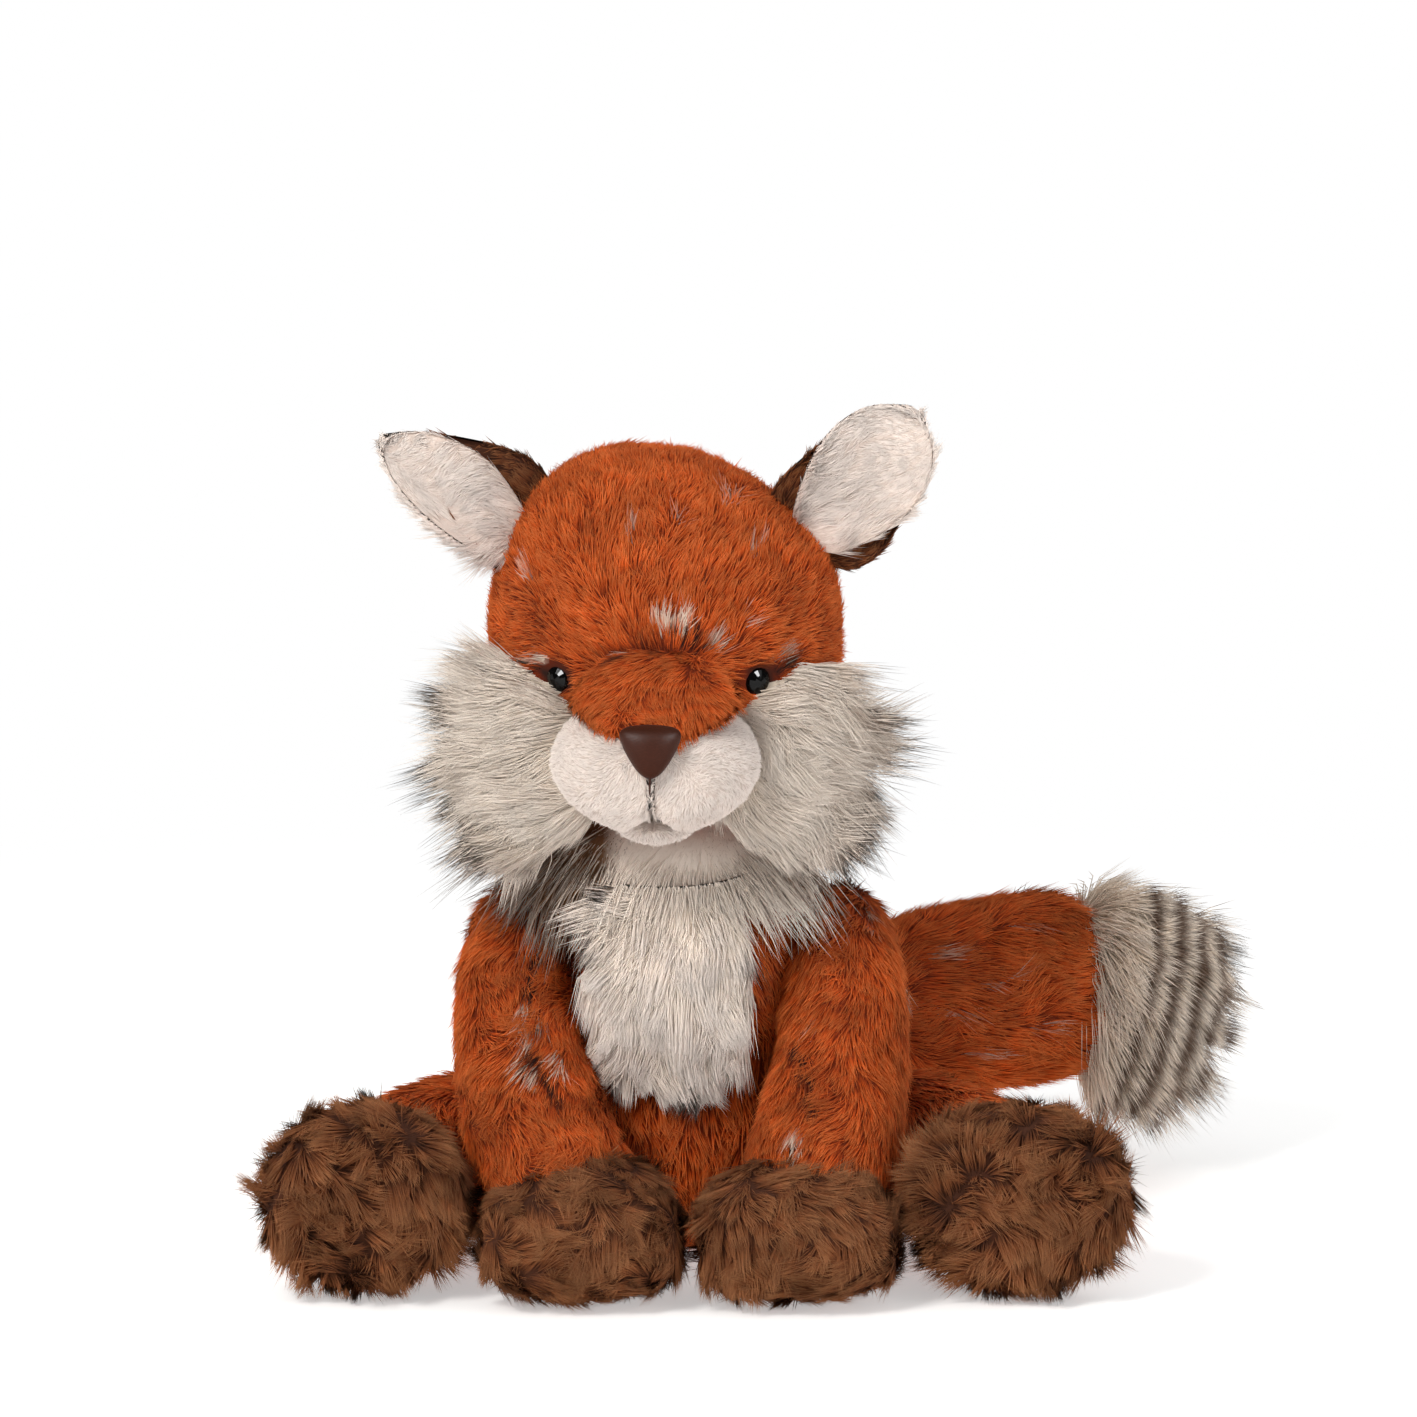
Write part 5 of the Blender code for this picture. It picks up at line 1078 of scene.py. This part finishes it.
def brown_material(colours):
    """Longer polyester plush, tumbled: darker between the tufts than on them, as the darker root colour paints
    shade there, with lighter tips that are partly painted light.
    """
    return bpy.data.materials.get("brown_polyester_plush") or pile_material(
        "brown_polyester_plush", colours.brown_shaded_root, colours.brown, colours.brown_lit_tip, colours.dark_fleck,
        colours.brown_lit_tip)


def white_material(colours):
    """Short, dense polyester pile, sheared flat: almost smooth, with a soft bloom."""
    return bpy.data.materials.get("white_polyester_plush") or pile_material(
        "white_polyester_plush", colours.white_shaded_root, colours.white, colours.white, colours.frost_mid,
        colours.white, spread=0.06)


class PLUSHFOX_OT_body(Operator):
    """Make the body cover's rust plush"""

    bl_idname = "plushfox.body"
    bl_label = "Body"

    def execute(self, context):
        sizes, colours = context.scene.plush_fox_sizes, context.scene.plush_fox_colours
        covers = under(("foreleg_left", 12), ("foreleg_right", 12), ("hind_leg_left", 12),
                       ("hind_leg_right", 12), ("tail", 12), ("bib", 3), ("neck_ruff", 4))
        plush("body", "torso", ["body_cover"], skin_of("body"),
              rust_pile(sizes, per_cm2=100 * sizes.fullness, width=0.00085),
              Lay(pull=(0, 0, -1)), rust_material(colours), 1, covers, print_and_shade_of(101))
        return {"FINISHED"}


class PLUSHFOX_OT_bib(Operator):
    """Make the bib of long cream pile"""

    bl_idname = "plushfox.bib"
    bl_label = "Bib"

    def execute(self, context):
        sizes, colours = context.scene.plush_fox_sizes, context.scene.plush_fox_colours
        pile = Pile(sizes.bib_pile, 340 * sizes.fullness, 0.00052, 0.005, math.radians(12), pinch=0.6,
                    hang=0.05, swirl=0.35, stray=0.1, uneven=0.25, softness=0.5)
        material = pile_material("cream_acrylic_pile", colours.cream_shaded_root, colours.cream, colours.white,
                                 colours.frost_mid, colours.cream, spread=0.08)
        top = np.array(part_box("bib")[1]) * (0, 1, 1) + (-0.005, -0.012, 0.006)
        plush("bib", "torso", ["bib"], skin_of("bib"), pile,
              Lay(centre=top, away=0.4, pull=(0, 0, -0.9)), material, 2,
              under(("body", 1), ("foreleg_left", 0), ("foreleg_right", 0)),
              lengths=lambda roots: 1.0 - 0.4 * roots.share, grown=lambda roots: roots.share > 0.2)
        return {"FINISHED"}


class PLUSHFOX_OT_neck_ruff(Operator):
    """Make the frosted ruff round the neck"""

    bl_idname = "plushfox.neck_ruff"
    bl_label = "Neck ruff"

    def execute(self, context):
        sizes, colours = context.scene.plush_fox_sizes, context.scene.plush_fox_colours
        pile = Pile(sizes.collar_pile, 145 * sizes.fullness, 0.0005, 0.0035, math.radians(12), pinch=0.45,
                    hang=0.25, swirl=0.25, stray=0.12, uneven=0.4, softness=0.5)
        material = pile_material("frosted_collar_pile", colours.frost_mid, colours.frost_mid,
                                 colours.cream, colours.frost_dark, colours.cream, dark_tips=0.6)
        plush("neck_ruff", "neck", ["neck_ruff"], skin_of("neck_ruff"), pile,
              Lay(centre=head_point(0, 0, 22), pull=(0, 0, -0.7)), material, 3, under(("head", 2)),
              marks=self.marks, lengths=self.lengths)
        return {"FINISHED"}

    @staticmethod
    def front(points):
        """1 under the chin, falling to 0 at the shoulders and behind: a flat bell of the place across."""
        across = points[:, 0] / 0.025
        return np.exp(-across ** 4) * (points[:, 1] < head_place()[0][1])

    def marks(self, points, normals):
        """Dark at the shoulders and behind, mixed with pale under the chin."""
        front = self.front(points)
        return np.stack([0.95 - 0.75 * front, 0.9 * front], axis=1)

    def lengths(self, roots):
        """Shorter under the chin, and shorter still behind the neck."""
        behind = np.clip((roots.points[:, 1] - head_place()[0][1]) / 0.02, 0, 1)
        return 1 - 0.35 * self.front(roots.points) - 0.4 * behind


class PLUSHFOX_OT_head(Operator):
    """Make the head cover's rust plush"""

    bl_idname = "plushfox.head"
    bl_label = "Head"

    def execute(self, context):
        sizes, colours = context.scene.plush_fox_sizes, context.scene.plush_fox_colours
        covers = under(("muzzle_left", 1), ("muzzle_right", 1), ("bridge", 1), ("cheek_left", 2.5),
                       ("cheek_right", 2.5), ("ear_back_left", 1), ("ear_back_right", 1), ("neck_ruff", 6))
        plush("head", "head", ["head_cover"], skin_of("head"),
              rust_pile(sizes, length=0.8 * sizes.rust_pile, per_cm2=240 * sizes.fullness, width=0.0006,
                        tuft=0.0025, pinch=0.25, swirl=0.25, swirl_span=0.012),
              Lay(centre=head_point(0, -70, 64)), rust_material(colours), 4, covers, print_and_shade_of(104),
              clear_of=eye_lines(), grown=self.thinner_behind)
        return {"FINISHED"}

    @staticmethod
    def thinner_behind(roots):
        """All the locks of the face, and every other one behind the ears."""
        return (roots.points[:, 1] < head_point(0, 0, 0)[1]) | (np.arange(len(roots.points)) % 2 == 0)


class PLUSHFOX_OT_muzzle(Operator):
    """Make the white muzzle pads, the chin and the rust bridge"""

    bl_idname = "plushfox.muzzle"
    bl_label = "Muzzle"

    def execute(self, context):
        sizes, colours = context.scene.plush_fox_sizes, context.scene.plush_fox_colours
        short = Pile(sizes.white_pile, 360 * sizes.fullness, 0.0005, 0.0022, math.radians(30), pinch=0.3,
                     swirl=0.3, stray=0.2, rings=1, softness=0.5)
        nose = head_point(0, -82, 54)
        middle, across = head_point(0, 0, 0), head_place()[1][0]
        for side in SIDES:
            plush(f"muzzle_{side}", "head", [f"muzzle_{side}"], skin_of(f"muzzle_{side}"),
                  short, Lay(centre=nose), white_material(colours), 5 + (side == "left"),
                  under(("head", 1), ("bridge", 0.5)),
                  grown=lambda roots: np.abs((roots.points - middle) @ across) > 0.0006)
        plush("chin", "head", ["chin"], skin_of("chin"), short, Lay(centre=nose),
              white_material(colours), 7, under(("head", 1), ("muzzle_left", 1), ("muzzle_right", 1)))
        low = rust_pile(sizes, length=0.0050, per_cm2=380 * sizes.fullness, tuft=0.0026)
        plush("bridge", "head", ["muzzle_bridge"], skin_of("bridge"), low,
              Lay(centre=head_point(0, -45, 96), pull=(0, 0, -0.2)), rust_material(colours), 8,
              under(("head", 2), ("muzzle_left", 2.5), ("muzzle_right", 2.5)), print_and_shade_of(108),
              clear_of=eye_lines())
        return {"FINISHED"}


class PLUSHFOX_OT_nose(Operator):
    """Make the satin nose"""

    bl_idname = "plushfox.nose"
    bl_label = "Nose"

    def execute(self, context):
        colours = context.scene.plush_fox_colours
        shell = Shell()
        shell.add_skin(Skin(NOSE, head_place()), no_marks)
        thread = np.array([[head_point(*place) for place in MOUTH_THREAD]])
        shell.add_locks(thread, np.array([-BACK]), 0.00045, np.full(1, 0.5), np.zeros((1, 2)))
        obj = bpy.data.objects.new("nose_pad", shell.mesh("nose_pad"))
        context.scene.collection.objects.link(obj)
        obj.data.materials.append(satin_material("woven_polyester_satin", colours.nose, 0.25))
        stand_for(obj, "head", ["nose"])
        return {"FINISHED"}


class PLUSHFOX_OT_cheek_ruffs(Operator):
    """Make the two cheek ruffs of long frosted pile"""

    bl_idname = "plushfox.cheek_ruffs"
    bl_label = "Cheek ruffs"

    def execute(self, context):
        sizes, colours = context.scene.plush_fox_sizes, context.scene.plush_fox_colours
        pile = Pile(sizes.cheek_pile, 480 * sizes.fullness, 0.00038, 0.0032, math.radians(8), pinch=0.55,
                    swirl=0.25, stray=0.1, uneven=0.3, swirl_span=0.016)
        material = pile_material("frosted_cheek_pile", colours.cream_shaded_root, colours.cream, colours.cream,
                                 colours.cheek_tip, colours.cream, dark_tips=0.45, spread=0.06)
        centre = head_point(0, -52, 58)
        for side in SIDES:
            pull = (0.6, 0.15, -0.45) if side == "left" else (-0.5, 0.15, -0.15)
            plush(f"cheek_ruff_{side}", "head", [f"cheek_ruff_{side}"],
                  skin_of(f"cheek_{side}"), pile, Lay(centre=centre, pull=pull, flat=0.7),
                  material, 9 + (side == "left"), under(("head", 1), (f"muzzle_{side}", 1)),
                  lengths=lambda roots: 0.4 + 0.6 * np.clip(roots.share * 1.5, 0, 1), marks=self.marks,
                  clear_of=eye_lines())
        return {"FINISHED"}

    @staticmethod
    def marks(points, normals):
        """Dark tips towards the rim, by the distance from the middle of the face; a faint painted shade over
        the whole of the fox's left ruff; and dark close to an eye, as dark fur with painted shade of the
        socket.
        """
        far = np.linalg.norm(points - head_point(0, -50, 48), axis=1)
        # Painted shade: the fox's left ruff is a little darker all over, as the side away from the key light.
        dark = 0.12 * (points[:, 0] > 0) + 0.42 * np.clip((far - 0.032) / 0.014, 0, 1)
        # Dark close to an eye: dark fur round the eye, with painted shade of the socket.
        for eye, _, _ in eye_lines()[::2]:
            dark = np.maximum(dark, np.exp(-(np.linalg.norm(points - eye, axis=1) / 0.0075) ** 4))
        return np.stack([dark, np.zeros(len(points))], axis=1)


class PLUSHFOX_OT_ears(Operator):
    """Make the ears: brown backs and white linings"""

    bl_idname = "plushfox.ears"
    bl_label = "Ears"

    def execute(self, context):
        sizes, colours = context.scene.plush_fox_sizes, context.scene.plush_fox_colours
        back = brown_pile(sizes, length=sizes.ear_pile, per_cm2=300 * sizes.fullness, width=0.0005,
                          tuft=0.0025, swirl=0.2, rise=math.radians(12))
        front = Pile(1.2 * sizes.ear_pile, 300 * sizes.fullness, 0.0005, 0.003, math.radians(10), pinch=0.4,
                     swirl=0.25, uneven=0.25, rings=1)
        for side in SIDES:
            low = -UP * 0.8 if side == "right" else ACROSS * 0.3 - UP * 0.3
            longer = 1.4 if side == "right" else 0.8
            plush(f"ear_back_{side}", f"ear_{side}", [f"ear_back_{side}"],
                  skin_of(f"ear_back_{side}"), back, Lay(along=1), brown_material(colours),
                  11 + (side == "left"), under((f"ear_lining_{side}", 0.5)),
                  grown=lambda roots: roots.share < 0.82)
            plush(f"ear_lining_{side}", f"ear_{side}", [f"ear_lining_{side}"],
                  skin_of(f"ear_lining_{side}"), front, Lay(along=1, pull=low), white_material(colours),
                  13 + (side == "left"), under((f"ear_back_{side}", 0.5)),
                  lengths=lambda roots, more=longer: 0.7 + more * np.clip(1.2 - 1.6 * roots.share, 0, 1),
                  grown=lambda roots, back=ear_place(side)[1][1]: roots.normals @ back < -0.1)
        return {"FINISHED"}


class PLUSHFOX_OT_forelegs(Operator):
    """Make the forelegs of rust plush and their brown paws"""

    bl_idname = "plushfox.forelegs"
    bl_label = "Forelegs"

    def execute(self, context):
        sizes, colours = context.scene.plush_fox_sizes, context.scene.plush_fox_colours
        for side in SIDES:
            number = 15 + 2 * (side == "left")
            plush(f"foreleg_{side}", f"foreleg_{side}", [f"foreleg_{side}"],
                  skin_of(f"foreleg_{side}"), rust_pile(sizes, per_cm2=200 * sizes.fullness),
                  Lay(along=1, pull=(0, 0, -0.2)),
                  rust_material(colours), number, under((f"paw_{side}", 3), ("body", 8)),
                  print_and_shade_of(100 + number))
            paw = skin_of(f"paw_{side}")
            plush(f"front_paw_{side}", f"foreleg_{side}", [f"front_paw_{side}"], paw,
                  brown_pile(sizes), Lay(along=0.7, pull=(0, 0, -0.6)), brown_material(colours), number + 1,
                  under((f"foreleg_{side}", 3)))
        return {"FINISHED"}


class PLUSHFOX_OT_hind_legs(Operator):
    """Make the hind legs and their round brown feet"""

    bl_idname = "plushfox.hind_legs"
    bl_label = "Hind legs"

    def execute(self, context):
        sizes, colours = context.scene.plush_fox_sizes, context.scene.plush_fox_colours
        for side in SIDES:
            number = 19 + 2 * (side == "left")
            plush(f"hind_leg_{side}", f"hind_leg_{side}", [f"hind_leg_{side}"],
                  skin_of(f"hind_leg_{side}"), rust_pile(sizes, per_cm2=100 * sizes.fullness, width=0.0009),
                  Lay(along=1, pull=(0, 0, -0.3)),
                  rust_material(colours), number, under((f"foot_{side}", 3), ("body", 8)),
                  print_and_shade_of(100 + number))
            foot = skin_of(f"foot_{side}")
            behind = foot.points.reshape(-1, 3).mean(axis=0) + (0, 0.025, 0.012)
            plush(f"hind_foot_{side}", f"hind_leg_{side}", [f"hind_foot_{side}", f"hind_sole_{side}"],
                  foot, brown_pile(sizes), Lay(centre=behind, pull=(0, 0, -0.5), flat=0.6),
                  brown_material(colours), number + 1, under((f"hind_leg_{side}", 3)))
        return {"FINISHED"}


class PLUSHFOX_OT_tail(Operator):
    """Make the tail of rust plush and its striped tip"""

    bl_idname = "plushfox.tail"
    bl_label = "Tail"

    def execute(self, context):
        sizes, colours = context.scene.plush_fox_sizes, context.scene.plush_fox_colours
        plush("tail", "tail", ["tail"], skin_of("tail"),
              rust_pile(sizes, length=1.15 * sizes.rust_pile, per_cm2=195 * sizes.fullness, width=0.00065),
              Lay(along=1), rust_material(colours), 23,
              under(("body", 8), ("tail_tip", 4)), print_and_shade_of(123))
        pile = Pile(sizes.tip_pile, 270 * sizes.fullness, 0.00044, 0.004, math.radians(12), pinch=0.55,
                    hang=0.12, swirl=0.3, stray=0.12, uneven=0.3)
        ahead = unit(np.diff(np.array(TAIL_TIP, float)[[1, -1], :3], axis=0))[0]
        first = (joint_place("tail_swing")[0] + np.array(FIRST_STRIPE) * MM) @ ahead
        material = pile_material("striped_acrylic_pile", colours.cream_shaded_root, colours.tail_cream, colours.cream,
                                 colours.stripe, colours.cream, spread=0.15,
                                 stripes=(tuple(ahead), first, STRIPE_GAP * MM))
        plush("tail_tip", "tail", ["tail_tip"], skin_of("tail_tip"), pile,
              Lay(pull=ahead + (0, 0, -0.35), flat=0.0), material, 24, under(("tail", 1)),
              lengths=lambda roots: 1.1 - 0.25 * roots.share, grown=lambda roots: roots.share > 0.2)
        return {"FINISHED"}


class PLUSHFOX_OT_hardware(Operator):
    """Finish the eyes, their washers, the fillings and the bag of beans"""

    bl_idname = "plushfox.hardware"
    bl_label = "Eyes and insides"

    def execute(self, context):
        colours = context.scene.plush_fox_colours
        finishes = {
            "eye": moulded_material("moulded_acrylic_eye", colours.eye, 0.03, 0.2),
            "eye_washer": moulded_material("moulded_nylon_washer", linear("#E8E6DF"), 0.4, 0.5),
            "filling": cloth_material("polyester_fibre_filling", linear("#F2F1EC"), 1.5),
            "bean_bag": cloth_material("woven_cotton_bag", linear("#DCD3BF"), 0.6),
        }
        for name, obj in frame["nodes"].items():
            for key in ("eye_washer", "eye", "filling", "bean_bag"):
                if key in name and not obj.hide_render:
                    obj.material_slots[0].material = finishes[key]
                    break
        return {"FINISHED"}


class PLUSHFOX_OT_studio(Operator):
    """Set up the floor, the light and the camera"""

    bl_idname = "plushfox.studio"
    bl_label = "Studio"

    def execute(self, context):
        scene, studio = context.scene, context.scene.plush_fox_studio
        scene.view_settings.view_transform = "Standard"
        make_floor(scene)
        make_world(scene, studio.fill)
        toward = np.array([0.0, math.cos(studio.elevation), -math.sin(studio.elevation)])
        upward = np.array([0.0, math.sin(studio.elevation), math.cos(studio.elevation)])
        aim = ACROSS * studio.aim_across + upward * studio.aim_up
        camera = bpy.data.objects.new("camera", bpy.data.cameras.new("camera"))
        camera.data.lens = camera.data.sensor_width * studio.distance / studio.width
        camera.location = aim - toward * studio.distance
        camera.rotation_euler = (math.pi / 2 - studio.elevation, 0, 0)
        scene.collection.objects.link(camera)
        scene.camera = camera
        add_lamp(scene, "key", (-1.0, -1.5, 1.6), 0.6, studio.key_power, (1.0, 0.98, 0.95))
        add_lamp(scene, "side_fill", (1.6, -1.2, 0.9), 1.4, 0.3 * studio.key_power, (0.97, 0.98, 1.0))
        add_lamp(scene, "back_light", (0.6, 1.6, 1.6), 1.2, 0.25 * studio.key_power, (1.0, 1.0, 1.0))
        for side, place in CATCH_LIGHTS.items():
            glint = add_lamp(scene, f"catch_light_{side}", place, 0.9, 4.0 * studio.key_power,
                             (1.0, 1.0, 1.0))
            glint.visible_diffuse = False
        return {"FINISHED"}


def add_lamp(scene, name, place, size, power, colour):
    """A square soft light that looks at the middle of the fox. Gives back the lamp."""
    lamp = bpy.data.lights.new(name, "AREA")
    lamp.size, lamp.energy, lamp.color = size, power, colour
    obj = bpy.data.objects.new(name, lamp)
    obj.location = place
    away = np.array(place) - (0, 0, 0.12)
    flat = math.hypot(away[0], away[1])
    obj.rotation_euler = (math.atan2(flat, away[2]), 0, math.atan2(away[1], away[0]) + math.pi / 2)
    scene.collection.objects.link(obj)
    return obj


def white_to_camera(tree):
    """1 for what the camera or a clear material sees, and 0 for the light that falls on things."""
    path = add_node(tree, "ShaderNodeLightPath")
    return add_node(tree, "ShaderNodeMath", {0: path.outputs["Is Camera Ray"],
                                             1: path.outputs["Is Transmission Ray"]},
                    operation="MAXIMUM").outputs[0]


def make_world(scene, fill):
    """Even light from all round, dimmer in what mirrors it, and a plain white behind everything."""
    world = bpy.data.worlds.new("studio")
    world.use_nodes = True
    tree = world.node_tree
    tree.nodes.clear()
    path = add_node(tree, "ShaderNodeLightPath")
    mirrored_less = add_node(tree, "ShaderNodeMapRange", {"Value": path.outputs["Is Glossy Ray"],
                                                          "To Min": fill, "To Max": 0.15 * fill})
    light = add_node(tree, "ShaderNodeBackground", {"Color": (1, 1, 1, 1),
                                                    "Strength": mirrored_less.outputs[0]})
    white = add_node(tree, "ShaderNodeBackground", {"Color": (1, 1, 1, 1), "Strength": 1.0})
    mix = add_node(tree, "ShaderNodeMixShader", {0: white_to_camera(tree), 1: light.outputs[0],
                                                 2: white.outputs[0]})
    add_node(tree, "ShaderNodeOutputWorld", {"Surface": mix.outputs[0]})
    scene.world = world


def make_floor(scene):
    """A plain white floor that keeps the fox's shadow, and goes over into the white behind it."""
    half = 3.0
    mesh = bpy.data.meshes.new("floor")
    corners = [(-half, -half, 0), (half, -half, 0), (half, half, 0), (-half, half, 0)]
    mesh.from_pydata(corners, [], [(0, 1, 2, 3)])
    floor = bpy.data.objects.new("floor", mesh)
    scene.collection.objects.link(floor)
    material, tree = new_material("matte_white_paper")
    paper = add_node(tree, "ShaderNodeBsdfPrincipled", {
        "Base Color": rgba(linear("#F7F7F6")), "Roughness": 1.0, "Specular IOR Level": 0.0,
        "Emission Color": (1, 1, 1, 1), "Emission Strength": 0.42})
    white = add_node(tree, "ShaderNodeEmission", {"Color": (1, 1, 1, 1), "Strength": 1.0})
    place = add_node(tree, "ShaderNodeTexCoord")
    reach = add_node(tree, "ShaderNodeVectorMath", {0: place.outputs["Object"]}, operation="LENGTH")
    far = add_node(tree, "ShaderNodeMapRange", {"Value": reach.outputs["Value"], "From Min": 0.2,
                                                "From Max": 0.55}, interpolation_type="SMOOTHSTEP")
    seen = add_node(tree, "ShaderNodeMath", {0: far.outputs[0], 1: white_to_camera(tree)},
                    operation="MULTIPLY")
    mix = add_node(tree, "ShaderNodeMixShader", {0: seen.outputs[0], 1: paper.outputs[0],
                                                 2: white.outputs[0]})
    finish_material(tree, mix)
    mesh.materials.append(material)
    floor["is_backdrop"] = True


PIECE_OPERATORS = (
    PLUSHFOX_OT_body, PLUSHFOX_OT_bib, PLUSHFOX_OT_neck_ruff, PLUSHFOX_OT_head, PLUSHFOX_OT_muzzle,
    PLUSHFOX_OT_nose, PLUSHFOX_OT_cheek_ruffs, PLUSHFOX_OT_ears, PLUSHFOX_OT_forelegs,
    PLUSHFOX_OT_hind_legs, PLUSHFOX_OT_tail, PLUSHFOX_OT_hardware, PLUSHFOX_OT_studio,
)


class PLUSHFOX_PT_panel(Panel):
    """The fox's settings and the buttons that make its pieces"""

    bl_idname = "PLUSHFOX_PT_panel"
    bl_label = "Plush fox"
    bl_space_type = "VIEW_3D"
    bl_region_type = "UI"
    bl_category = "Plush fox"

    def draw(self, context):
        for group in (context.scene.plush_fox_sizes, context.scene.plush_fox_colours,
                      context.scene.plush_fox_studio):
            for key in group.bl_rna.properties.keys():
                if key not in ("rna_type", "name"):
                    self.layout.prop(group, key)
        for operator in PIECE_OPERATORS:
            self.layout.operator(operator.bl_idname)


CLASSES = (PlushFoxSizes, PlushFoxColours, PlushFoxStudio, *PIECE_OPERATORS, PLUSHFOX_PT_panel)


def register():
    """Registers the classes and puts the settings on the scene."""
    for cls in CLASSES:
        bpy.utils.register_class(cls)
    bpy.types.Scene.plush_fox_sizes = PointerProperty(type=PlushFoxSizes)
    bpy.types.Scene.plush_fox_colours = PointerProperty(type=PlushFoxColours)
    bpy.types.Scene.plush_fox_studio = PointerProperty(type=PlushFoxStudio)


def unregister():
    """Takes the settings and the classes away again."""
    del bpy.types.Scene.plush_fox_studio
    del bpy.types.Scene.plush_fox_colours
    del bpy.types.Scene.plush_fox_sizes
    for cls in reversed(CLASSES):
        bpy.utils.unregister_class(cls)


def main():
    """Makes every piece and the studio, and works out the size before and after."""
    register()
    for operator in PIECE_OPERATORS:
        group, name = operator.bl_idname.split(".")
        getattr(getattr(bpy.ops, group), name)()
    boxes = {"cad": CAD_BOX, "visual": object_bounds()}
    {key: [list(corner) for corner in box] for key, box in boxes.items()}


if __name__ == "__main__":
    main()
